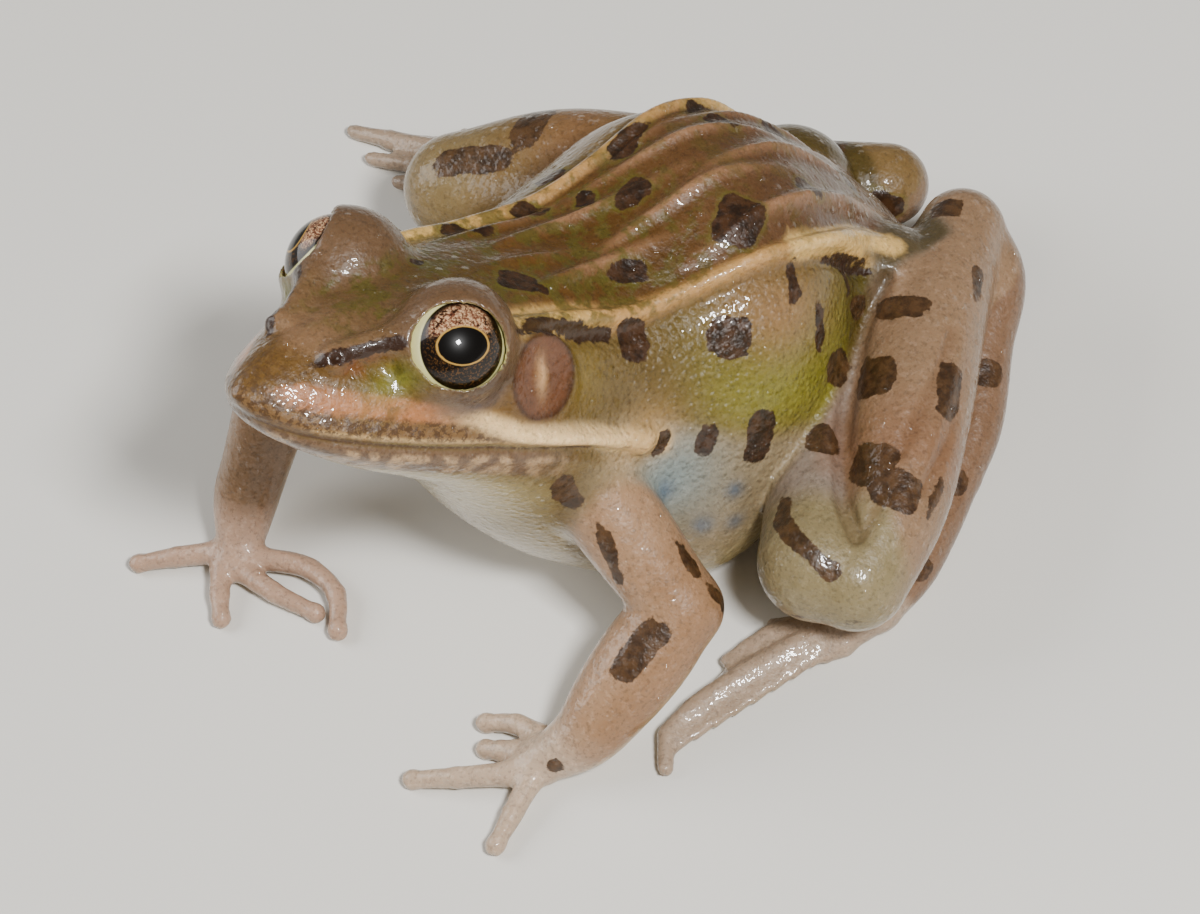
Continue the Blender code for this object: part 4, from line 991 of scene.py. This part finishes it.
BACK_SPOTS = [
    ((-6.4, 45.2, 10.8), -0.3, 2.8, 1.3), ((-0.3, 41.9, 10.0), -0.3, 1.6, 1.2),
    ((-2.5, 39.0, 8.2), -0.5, 1.1, 0.9), ((-4.6, 35.3, 6.2), 0.6, 1.5, 1.0),
    ((-5.1, 28.8, 5.6), 0.6, 2.1, 1.1), ((3.8, 26.6, 6.1), 0.4, 1.7, 1.2),
    ((4.9, 27.6, 5.9), 0.5, 0.9, 0.5), ((5.5, 28.3, 5.6), 0.3, 0.45, 0.4),
    ((6.1, 37.7, 6.7), 0.1, 1.7, 1.1), ((7.5, 47.4, 11.7), 0.5, 1.9, 2.4),
    ((-3.8, 52.4, 13.7), 0.7, 1.5, 1.0), ((1.3, 64.2, 9.7), 0.6, 1.3, 0.9),
    ((-2.8, 74.0, 2.8), 0.5, 1.6, 1.2), ((-1.8, 20.1, 6.3), 0.6, 0.65, 0.55),
    ((-8.6, 40.0, 6.0), 0.3, 1.5, 1.0), ((-7.0, 53.0, 12.6), 0.3, 2.0, 1.3),
    ((-3.0, 59.0, 12.4), 0.3, 1.8, 1.2), ((5.4, 56.0, 12.6), 0.4, 1.3, 1.0)
]
FLANK_SPOTS = [
    ((10.1, 36.0, 2.5), 0.1, 1.5, 2.0), ((13.8, 44.9, 4.3), 0.1, 1.8, 1.8),
    ((12.4, 51.1, 8.7), 0.0, 0.7, 1.9), ((14.5, 54.0, 5.0), 0.0, 0.6, 1.9),
    ((10.8, 59.0, 6.4), 0.0, 0.5, 1.6), ((18.0, 48.3, -3.6), 0.0, 1.3, 2.5),
    ((16.3, 43.3, -4.4), 0.0, 0.85, 1.6), ((14.8, 38.7, -5.4), 0.0, 0.7, 1.4),
    ((-12.0, 36.0, 3.0), 0.2, 1.7, 1.7), ((-14.0, 46.0, 4.0), 0.1, 1.8, 1.8),
    ((-15.0, 54.0, 3.0), 0.0, 1.1, 1.9), ((-16.8, 49.0, -4.6), 0.0, 1.2, 2.3),
    ((-15.0, 41.0, -5.0), 0.0, 0.9, 1.6)
]
SOFT_SPOTS = [
    ((15.7, 40.6, -10.0), 1.0), ((18.4, 47.3, -8.9), 0.9), ((17.8, 45.5, -13.0), 1.0),
    ((18.2, 48.5, -12.4), 0.9), ((-15.4, 43.0, -10.7), 1.0), ((-16.8, 50.0, -11.5), 1.0)
]
LIMB_BARS = [
    ((16.4, 45.0, 19.0), (0.7, 0.5, 0.0), 2.6, 1.1), ((18.4, 39.4, 17.8), (0.7, 0.5, 0.0), 2.0, 1.7),
    ((20.9, 33.3, 15.9), (0.8, 0.3, -0.1), 1.6, 1.4), ((17.9, 46.6, 18.6), (0.7, 0.5, 0.0), 2.4, 1.1),
    ((20.6, 39.9, 17.6), (0.7, 0.5, 0.0), 2.3, 1.9), ((26.0, 33.6, 16.0), (0.8, 0.4, -0.1), 2.5, 2.0),
    ((29.4, 33.4, 15.0), (0.5, 0.3, -0.7), 1.9, 1.9), ((25.6, 43.4, 15.4), (0.5, -0.8, -0.2), 2.8, 1.3),
    ((19.6, 54.0, 16.0), (0.4, -0.7, -0.2), 1.6, 0.7), ((12.4, 57.8, 17.0), (0.6, 0.6, 0.0), 1.5, 1.2),
    ((12.8, 12.0, 25.0), (0.3, 0.0, -0.9), 3.0, 1.1), ((16.2, 12.2, 18.4), (0.3, 0.0, -0.9), 3.6, 0.8),
    ((21.1, 9.3, 11.6), (-0.1, -0.8, -0.4), 3.2, 1.3), ((20.4, 16.9, 14.8), (0.3, -0.2, -0.8), 2.6, 0.7),
    ((22.9, 17.4, 11.8), (0.2, 0.1, -0.9), 1.8, 0.7), ((18.4, -0.9, 3.4), (0.0, -0.8, -0.2), 0.9, 0.6),
    ((-27.4, 36.4, 17.2), (0.4, 0.3, 0.0), 3.6, 1.5), ((-25.4, 42.5, 18.0), (-0.4, 0.8, 0.0), 3.0, 1.6),
    ((-12.0, 50.0, 17.0), (-0.4, 0.8, 0.0), 2.6, 1.6), ((-3.0, 58.0, 14.0), (-0.4, 0.8, 0.0), 2.4, 1.4),
    ((27.0, 41.0, 6.8), (0.7, 0.4, 0.0), 1.8, 1.3), ((22.6, 50.5, 9.2), (0.7, 0.4, 0.0), 1.8, 1.3),
    ((29.6, 33.0, 4.6), (0.7, 0.4, 0.0), 1.8, 1.2), ((31.5, 35.2, 13.2), (-0.3, 0.9, 0.2), 2.2, 0.5)
]
KNEE_BAND = [(22.2, 26.6, 15.2), (23.6, 24.9, 15.0), (26.9, 24.0, 15.2), (30.0, 24.2, 14.0)]
KNEE_BAND_HALF_WIDTH = 0.9
KNEE_LINE = [(26.6, 21.6, 9.6), (28.6, 20.9, 9.2), (30.8, 21.6, 9.4), (33.0, 23.2, 9.6)]
KNEE_LINE_HALF_WIDTH = 0.35
back_marks = np.min([back_spot(*mark) for mark in BACK_SPOTS], axis=0)
flank_marks = np.min([back_spot(*mark) for mark in FLANK_SPOTS], axis=0)
knee_band = along_line(where, KNEE_BAND)[1] - KNEE_BAND_HALF_WIDTH
limb_marks = np.minimum(np.min([spot(*mark) for mark in LIMB_BARS], axis=0), knee_band)
off_trunk = ease(trunk_gap, 0.8, 2.0) * 4.0
back_marks = back_marks + off_trunk * fade(back, 54.0, 60.0)
flank_marks = flank_marks + off_trunk
marks = np.minimum(np.minimum(back_marks, flank_marks), limb_marks)
on_limb = limb_marks < np.minimum(back_marks, flank_marks)
halo = (back_marks < flank_marks) & (back_marks < limb_marks)
soft_marks = np.max([patch(on_trunk, place, reach) for place, reach in SOFT_SPOTS], axis=0)
paint.lay("#46586a", soft_marks * 0.75 * skin_of_trunk)

# Ragged dark bands from nostril to eye and behind the eye, and painted shade under the rear of the fold and
# in the leg's creases.
NOSTRIL_STRIPE = [(3.0, 5.0, 2.7), (4.1, 7.2, 3.4), (5.0, 9.0, 4.0), (6.4, 11.2, 5.0)]
BEHIND_EYE = [(9.4, 20.6, 5.9), (9.0, 23.9, 5.3), (9.1, 26.1, 4.7), (9.2, 29.9, 3.3), (9.5, 33.0, 2.8)]
BEHIND_EYE_RADII = (0.7, 0.9, 0.8, 0.7)
dark_bands_and_shade = []
for s in (1, -1):
    stripe = [mirrored(place, s) for place in NOSTRIL_STRIPE]
    for start, end in zip(stripe, stripe[1:]):
        dark_bands_and_shade.append(taper(start, end, 0.55, 0.6)[0](where))
    dark_bands_and_shade.append(taper(on_body(s * 3.4, 7.4, 2.5), on_body(s * 4.2, 8.8, 2.5), 0.75, 0.5)[0](where))
    dark_bands_and_shade.append(taper(on_body(s * 3.0, 5.0, 2.5), on_body(s * 2.9, 2.9, 1.5), 0.5, 0.35)[0](where))
    behind_eye = [mirrored(place, s) for place in BEHIND_EYE]
    for start, end, thick in zip(behind_eye, behind_eye[1:], BEHIND_EYE_RADII):
        dark_bands_and_shade.append(taper(start, end, thick, thick)[0](where))
# Painted shadow under the raised rear end of the left fold, and painted shade along the underside of the fold
# at the rear of both sides.
shadow_under_rear_fold = [on_body(place[0] + 1.0, place[1], place[2] - 1.5) for place in REAR_FOLD[1:]]
dark_bands_and_shade.append(along_line(where, shadow_under_rear_fold)[1] - 0.55)
off_rear = 3 * ease(back, 63.0, 66.0) + 3 * fade(back, 50.0, 56.0) + off_trunk
shade_under_fold = np.abs(fold - 1.5) - 0.35 + off_rear
dark_bands_and_shade.append(shade_under_fold)
bands_and_painted_shade = np.min(dark_bands_and_shade, axis=0)
# Painted shade along two creases of the left shank.
painted_crease_shade = np.min([along_line(where, line[1:])[1] for line in KNEE_CREASES[1:]], axis=0) - 0.12
bands_and_painted_shade = np.minimum(bands_and_painted_shade, painted_crease_shade)
knee_line = along_line(where, KNEE_LINE)[1] - KNEE_LINE_HALF_WIDTH
bands_and_painted_shade = np.minimum(bands_and_painted_shade, knee_line)
mouth_line = np.abs(over_mouth) + 3 * ease(back, 30.0, 33.0) + off_trunk + 3 * (from_top < 0.5)

mottle = (head * (ease(over_mouth, 0.4, 0.9) * fade(over_mouth, 2.0, 2.6) * (1 - ridge_paint)
                  + 0.5 * ease(-over_mouth, 0.3, 0.7) * fade(-over_mouth, 2.4, 3.2)) * (from_top > 0.5)
          + 0.7 * patch(on_trunk, (0.0, 0.5, 0.0), (10.0, 4.5, 10.0)))
warts = side_paint * ease(back, 26.0, 34.0) * fade(trunk_gap, 0.5, 1.5) * fade(-up, 6.0, 12.0)
DROPLETS = [
    ((13.5, 43.0, 2.0), (4.0, 8.0, 5.0)), ((8.5, 44.0, 10.5), (3.0, 9.0, 4.0)),
    ((4.0, 6.0, 2.5), (3.0, 3.0, 1.5)), ((24.5, 52.0, -5.5), (5.0, 5.0, 4.0)),
    ((28.0, 48.0, -8.0), (4.0, 4.0, 3.0)), ((19.0, 36.0, -14.0), (3.0, 6.0, 7.0)),
    ((21.5, 33.0, -22.0), (3.0, 6.0, 5.0)), ((25.0, 56.0, -2.0), (5.0, 4.0, 3.0)),
    ((15.6, 44.5, -3.0), (3.0, 6.0, 2.0))
]
both_sides = np.stack([np.abs(left), back, up], -1)
wet = np.max([patch(both_sides, place, reach) for place, reach in DROPLETS], axis=0)


def store(name, values):
    """Keep one number for each point of the skin, for its material to read."""
    layer = skin.data.attributes.new(name, "FLOAT", "POINT")
    layer.data.foreach_set("value", np.ascontiguousarray(values, np.float32))


tint = skin.data.color_attributes.new("tint", "FLOAT_COLOR", "POINT")
opaque = np.column_stack([paint.colour, np.ones(vertex_count)])
tint.data.foreach_set("color", opaque.astype(np.float32).ravel())
store("marks", marks)
store("halo", halo)
store("limb", on_limb)
store("bands_and_shade", bands_and_painted_shade)
store("mottle", np.clip(mottle, 0, 1))
store("warts", warts)
olive = (1 - side_paint) * (0.75 - 0.45 * ease(back, 36.0, 52.0)) * ease(back, 5.0, 12.0) * skin_of_trunk
store("olive", olive)
store("droplets", 0.25 + 0.75 * wet)
store("mouth", mouth_line)

# Skin, material
# Silicone skin under clear wet varnish: soft ragged marks, fine speckles and grain, low warts on the flank.
# The varnish gives the sharp white glints of a wet animal, on a skin that itself is only half glossy.


class Nodes:
    """The nodes of one material, each added with its settings and links."""

    def __init__(self, name):
        self.material = bpy.data.materials.new(name)
        self.material.use_nodes = True
        self.tree = self.material.node_tree
        self.shader = self.tree.nodes["Principled BSDF"]

    def add(self, kind, settings=(), links=(), output=0):
        """A node with its settings by name and its sockets linked or given a value. Returns one output."""
        node = self.tree.nodes.new(kind)
        for key, value in dict(settings).items():
            setattr(node, key, value)
        for key, value in dict(links).items():
            self.join(value, node.inputs[key])
        return node.outputs[output]

    def join(self, value, socket):
        if isinstance(value, bpy.types.NodeSocket):
            self.tree.links.new(value, socket)
        else:
            socket.default_value = value

    def attribute(self, name, output="Fac"):
        return self.add("ShaderNodeAttribute", {"attribute_name": name}, {}, output)

    def math(self, operation, first, second=0.0):
        return self.add("ShaderNodeMath", {"operation": operation}, {0: first, 1: second})

    def between(self, value, low, high):
        """0 below low and 1 above high, smooth between them."""
        return self.add("ShaderNodeMapRange", {"interpolation_type": "SMOOTHSTEP"},
                        {"Value": value, "From Min": low, "From Max": high})

    def below(self, value, low, high):
        """1 below low and 0 above high, smooth between them."""
        return self.math("SUBTRACT", 1.0, self.between(value, low, high))

    def noise(self, size, detail=2.0, rough=0.5, seed=0.0):
        """Noise whose lumps are about the size in millimetres, with its values spread round 0.5."""
        return self.add("ShaderNodeTexNoise", {"noise_dimensions": "4D"},
                        {"Vector": self.place, "W": seed, "Scale": 1.0 / size, "Detail": detail,
                         "Roughness": rough})

    def mix(self, share, first, second):
        node = self.tree.nodes.new("ShaderNodeMix")
        node.data_type = "RGBA"
        for socket, value in ((node.inputs[0], share), (node.inputs[6], first), (node.inputs[7], second)):
            self.join(value, socket)
        return node.outputs[2]

    def colour(self, hex_colour):
        return (*linear(hex_colour), 1.0)


def in_millimetres(nodes):
    """The place on the object, in millimetres."""
    place = nodes.add("ShaderNodeTexCoord", {}, {}, "Object")
    return nodes.add("ShaderNodeVectorMath", {"operation": "SCALE"}, {0: place, "Scale": 1.0 / MILLIMETRE})


WARTS_PER_MILLIMETRE = 1.5
DROPS_PER_MILLIMETRE = 1.05
DROP_HEIGHT = 0.32


def skin_material():
    """Painted silicone skin, brown above and pale below, under wet varnish."""
    n = Nodes("painted_silicone_skin")
    n.place = in_millimetres(n)
    colour = n.attribute("tint", "Color")
    ragged = n.math("SUBTRACT", n.noise(0.7, 3.0, 0.6), 0.5)
    lumpy = n.math("SUBTRACT", n.noise(2.2, 2.0, 0.5, 3.0), 0.5)

    def toned(strength, amount, value, saturation):
        """The colour so far, lighter or darker where the strength is high."""
        other = n.add("ShaderNodeHueSaturation", {},
                      {"Color": colour, "Value": value, "Saturation": saturation})
        return n.mix(n.math("MULTIPLY", strength, amount), colour, other)

    def covered(strength, amount, hex_colour):
        """The colour so far, under another one where the strength is high."""
        return n.mix(n.math("MULTIPLY", strength, amount), colour, n.colour(hex_colour))

    def uneven_edge(name, ragged_share, lumpy_share):
        """A stored distance to a mark's edge, made uneven."""
        edge = n.math("ADD", n.attribute(name), n.math("MULTIPLY", ragged, ragged_share))
        return n.math("ADD", edge, n.math("MULTIPLY", lumpy, lumpy_share))

    cloud = n.between(n.noise(3.2, 4.0, 0.62, 5.0), 0.35, 0.7)
    colour = toned(cloud, 0.28, 0.62, 1.1)
    blotch = n.between(n.noise(1.6, 3.0, 0.6, 17.0), 0.46, 0.6)
    colour = covered(blotch, n.attribute("olive"), "#4a4313")
    fleck = n.between(n.noise(0.55, 3.0, 0.65, 9.0), 0.52, 0.66)
    colour = toned(fleck, 0.5, 1.4, 0.9)
    grain = n.between(n.noise(0.34, 3.0, 0.65, 12.0), 0.52, 0.64)
    colour = toned(grain, 0.55, 0.5, 1.0)
    speckle = n.between(n.noise(0.65, 4.0, 0.72, 15.0), 0.47, 0.54)
    colour = covered(speckle, n.math("MULTIPLY", n.attribute("mottle"), 0.8), "#402a16")
    edge = uneven_edge("marks", 0.7, 1.1)
    ring = n.math("MULTIPLY", n.below(edge, 0.15, 0.5), n.attribute("halo"))
    colour = covered(ring, 0.32, "#545218")
    dark = n.below(edge, -0.06, 0.08)
    uneven = n.between(n.noise(0.9, 3.0, 0.6, 7.0), 0.35, 0.65)
    spot_colour = n.mix(uneven, n.colour("#1a0b04"), n.colour("#3a2210"))
    bar_colour = n.mix(uneven, n.colour("#291809"), n.colour("#4a321b"))
    spot_colour = n.mix(n.attribute("limb"), spot_colour, bar_colour)
    colour = n.mix(n.math("MULTIPLY", dark, 0.96), colour, spot_colour)
    # Dark bands, with the painted shade under the rear fold and in the leg's creases.
    band_and_shade = n.below(uneven_edge("bands_and_shade", 1.1, 0.7), -0.1, 0.15)
    colour = covered(band_and_shade, 0.95, "#261206")
    line = n.below(n.attribute("mouth"), 0.05, 0.2)
    colour = covered(line, 0.7, "#3a1f10")
    n.join(colour, n.shader.inputs["Base Color"])
    pits = n.noise(0.45, 3.0, 0.6, 20.0)
    wrinkles = n.noise(1.3, 2.0, 0.5, 23.0)
    wart = n.add("ShaderNodeTexVoronoi", {"feature": "SMOOTH_F1"},
                 {"Vector": n.place, "Scale": WARTS_PER_MILLIMETRE, "Smoothness": 0.4})
    bumps = n.below(wart, 0.1, 0.6)
    grain_height = n.math("ADD", n.math("MULTIPLY", pits, 0.16), n.math("MULTIPLY", wrinkles, 0.35))
    wart_height = n.math("MULTIPLY", bumps, n.math("MULTIPLY", n.attribute("warts"), 0.15))
    relief_height = n.math("ADD", grain_height, wart_height)
    bump = n.add("ShaderNodeBump", {}, {"Height": relief_height, "Distance": MILLIMETRE, "Strength": 0.7})
    n.join(bump, n.shader.inputs["Normal"])
    drop_place = {"Vector": n.place, "Scale": DROPS_PER_MILLIMETRE, "Randomness": 1.0}
    drop = n.add("ShaderNodeTexVoronoi", {}, drop_place)
    chosen = n.add("ShaderNodeTexVoronoi", {}, drop_place, "Color")
    red = n.add("ShaderNodeSeparateColor", {}, {"Color": chosen}, "Red")
    present = n.between(n.math("SUBTRACT", n.attribute("droplets"), red), -0.02, 0.02)
    dome = n.math("MULTIPLY", n.below(drop, 0.0, 0.42), present)
    film = n.math("MULTIPLY", n.noise(0.6, 1.0, 0.5, 30.0), 0.12)
    water = n.math("ADD", n.math("MULTIPLY", dome, DROP_HEIGHT), film)
    wet_normal = n.add("ShaderNodeBump", {}, {"Height": water, "Distance": MILLIMETRE, "Strength": 1.0})
    n.join(wet_normal, n.shader.inputs["Coat Normal"])
    for name, value in (("Roughness", 0.42), ("Specular IOR Level", 0.25), ("Coat Weight", 0.75),
                        ("Coat Roughness", 0.05), ("Coat IOR", 1.36), ("Subsurface Weight", 0.12),
                        ("Subsurface Scale", 0.001)):
        n.shader.inputs[name].default_value = value
    n.shader.inputs["Subsurface Radius"].default_value = (1.0, 0.5, 0.3)
    return n.material


skin.data.materials.append(skin_material())
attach(skin, "root")
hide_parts(*[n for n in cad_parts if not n.startswith("eye_")])

# Eyes
# Each eye is a ball of glass with the iris and pupil painted behind it, set deep between the lids.
# The glass mirrors the key lamp as one small glint over an iris that is copper above and dark below.

IRIS_HALF_LENGTH = 3.45
IRIS_HALF_HEIGHT = 3.6
PUPIL_HALF_LENGTH = 2.05
PUPIL_HALF_HEIGHT = 1.5
PUPIL_LEAN = -0.18


def eye_material(word, eye, s):
    """Copper iris with gold flecks, a level oval pupil rimmed in gold and a pale edge, under clear glass."""
    n = Nodes("painted_glass_eye_" + word)
    look = faced(EYE_LOOK, s)
    high = upward_from(look, PUPIL_LEAN)
    rear = s * np.cross(high, look)
    n.place = in_millimetres(n)
    centre = [float(v) for v in eye - FOOTPRINT_MIDDLE]
    from_centre = n.add("ShaderNodeVectorMath", {"operation": "SUBTRACT"}, {0: n.place, 1: centre})

    def along(direction):
        return n.add("ShaderNodeVectorMath", {"operation": "DOT_PRODUCT"},
                     {0: from_centre, 1: [float(v) for v in direction]}, "Value")

    def oval(across, upward, half_length, half_height):
        first = n.math("POWER", n.math("ABSOLUTE", n.math("DIVIDE", across, half_length)), 2.0)
        second = n.math("POWER", n.math("ABSOLUTE", n.math("DIVIDE", upward, half_height)), 2.0)
        return n.math("SQRT", n.math("ADD", first, second))

    across, upward = along(rear), along(high)
    fine = n.noise(0.22, 3.0, 0.7, 2.0)
    threads = n.noise(0.5, 4.0, 0.7, 4.0)
    uneven = n.math("MULTIPLY", n.math("SUBTRACT", threads, 0.5), 1.6)
    upper = n.between(n.math("ADD", upward, uneven), 0.7, 1.3)
    middle_part = n.below(n.math("ABSOLUTE", across), 2.1, 3.0)
    upper = n.math("MULTIPLY", upper, middle_part)
    dark_part = n.mix(n.between(fine, 0.5, 0.62), n.colour("#0c0603"), n.colour("#4c3114"))
    copper = n.mix(n.between(fine, 0.42, 0.6), n.colour("#5e3424"), n.colour("#c09a74"))
    copper = n.mix(n.between(threads, 0.53, 0.6), copper, n.colour("#2a1409"))
    iris = n.mix(upper, dark_part, copper)
    pupil = oval(n.math("SUBTRACT", across, 0.15), n.math("SUBTRACT", upward, 0.05),
                 PUPIL_HALF_LENGTH, PUPIL_HALF_HEIGHT)
    pupil = n.math("ADD", pupil, n.math("MULTIPLY", n.math("SUBTRACT", threads, 0.5), 0.06))
    gold = n.below(pupil, 1.05, 1.12)
    iris = n.mix(gold, iris, n.colour("#a8823f"))
    iris = n.mix(n.below(pupil, 0.98, 1.03), iris, n.colour("#050302"))
    edge = oval(n.math("SUBTRACT", across, 0.25), upward, IRIS_HALF_LENGTH, IRIS_HALF_HEIGHT)
    iris = n.mix(n.between(edge, 0.86, 0.97), iris, n.colour("#100804"))
    iris = n.mix(n.between(edge, 0.99, 1.02), iris, n.colour("#dcd79c"))
    n.join(iris, n.shader.inputs["Base Color"])
    for name, value in (("Roughness", 0.35), ("Specular IOR Level", 0.1), ("Coat Weight", 1.0),
                        ("Coat Roughness", 0.01), ("Coat IOR", 1.34)):
        n.shader.inputs[name].default_value = value
    return n.material


for side, word in ((LEFT, "left"), (RIGHT, "right")):
    s = side["sign"]
    eye_middle = mirrored(EYE_CENTRE, s)
    globe = bmesh.new()
    bmesh.ops.create_icosphere(globe, subdivisions=5, radius=EYE_RADIUS)
    eye_points = [np.array(v.co) + eye_middle for v in globe.verts]
    eye_faces = [[v.index for v in f.verts] for f in globe.faces]
    globe.free()
    eye = make_piece("eyeball_" + word, eye_points, eye_faces)
    eye.data.materials.append(eye_material(word, eye_middle, s))
    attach(eye, "root")
    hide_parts("eye_" + word)

# Floor, light and camera
# A pale plain floor under soft studio light, seen from above the frog's left side as it faces the viewer.
# The small key lamp gives the sharp glints of wet skin, and the wide fill lamp opens the far side's shadows.

CAMERA_PLACE = np.array([250.812, -121.806, 348.322])
CAMERA_RIGHT = np.array([0.68200, 0.70302, -0.20159])
CAMERA_UP = np.array([-0.47011, 0.63255, 0.61554])
FOCAL_LENGTH = 151.2
FLOOR_SIZE = 3.0

floor_mesh = bpy.data.meshes.new("floor")
floor_corners = [(x * FLOOR_SIZE, y * FLOOR_SIZE, 0.0) for x, y in ((-1, -1), (1, -1), (1, 1), (-1, 1))]
floor_mesh.from_pydata(floor_corners, [], [(0, 1, 2, 3)])
floor = bpy.data.objects.new("floor", floor_mesh)
bpy.context.collection.objects.link(floor)

# Matt pale paint, which throws a little soft light up on the throat.
floor_paint = bpy.data.materials.new("pale_floor")
floor_paint.use_nodes = True
shader = floor_paint.node_tree.nodes["Principled BSDF"]
shader.inputs["Base Color"].default_value = (*linear("#d9d6cf"), 1.0)
shader.inputs["Roughness"].default_value = 0.7
floor_mesh.materials.append(floor_paint)
floor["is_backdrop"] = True

world = bpy.data.worlds.new("studio")
world.use_nodes = True
world.node_tree.nodes["Background"].inputs["Color"].default_value = (*linear("#e6e2dc"), 1.0)
world.node_tree.nodes["Background"].inputs["Strength"].default_value = 0.25
bpy.context.scene.world = world


def add_lamp(name, place, aim, size, power):
    """A square lamp that shines from its place to its aim."""
    lamp = bpy.data.lights.new(name, "AREA")
    lamp.size = size
    lamp.energy = power
    holder = bpy.data.objects.new(name, lamp)
    bpy.context.collection.objects.link(holder)
    from_place = (np.array(place) - FOOTPRINT_MIDDLE) * MILLIMETRE
    to_place = (np.array(aim) - FOOTPRINT_MIDDLE) * MILLIMETRE
    holder.location = from_place
    direction = holder.location.copy()
    direction[:] = [float(v) for v in (from_place - to_place)]
    holder.rotation_mode = "QUATERNION"
    holder.rotation_quaternion = direction.to_track_quat("Z", "Y")


LAMP_AIM = (0.0, 20.0, 15.0)
add_lamp("key_lamp", (320.0, -30.0, 390.0), LAMP_AIM, 0.065, 3.9)
add_lamp("fill_lamp", (-330.0, -190.0, 300.0), LAMP_AIM, 0.35, 1.9)

lens = bpy.data.cameras.new("camera")
lens.sensor_width = 36.0
lens.lens = FOCAL_LENGTH
lens.clip_start = 0.01
camera = bpy.data.objects.new("camera", lens)
bpy.context.collection.objects.link(camera)
camera_back = np.cross(CAMERA_RIGHT, CAMERA_UP)
stand = camera.matrix_world.copy()
for row in range(3):
    stand[row][0] = CAMERA_RIGHT[row]
    stand[row][1] = CAMERA_UP[row]
    stand[row][2] = camera_back[row]
    stand[row][3] = (CAMERA_PLACE[row] - FOOTPRINT_MIDDLE[row]) * MILLIMETRE
camera.matrix_world = stand
bpy.context.scene.camera = camera

low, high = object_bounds()
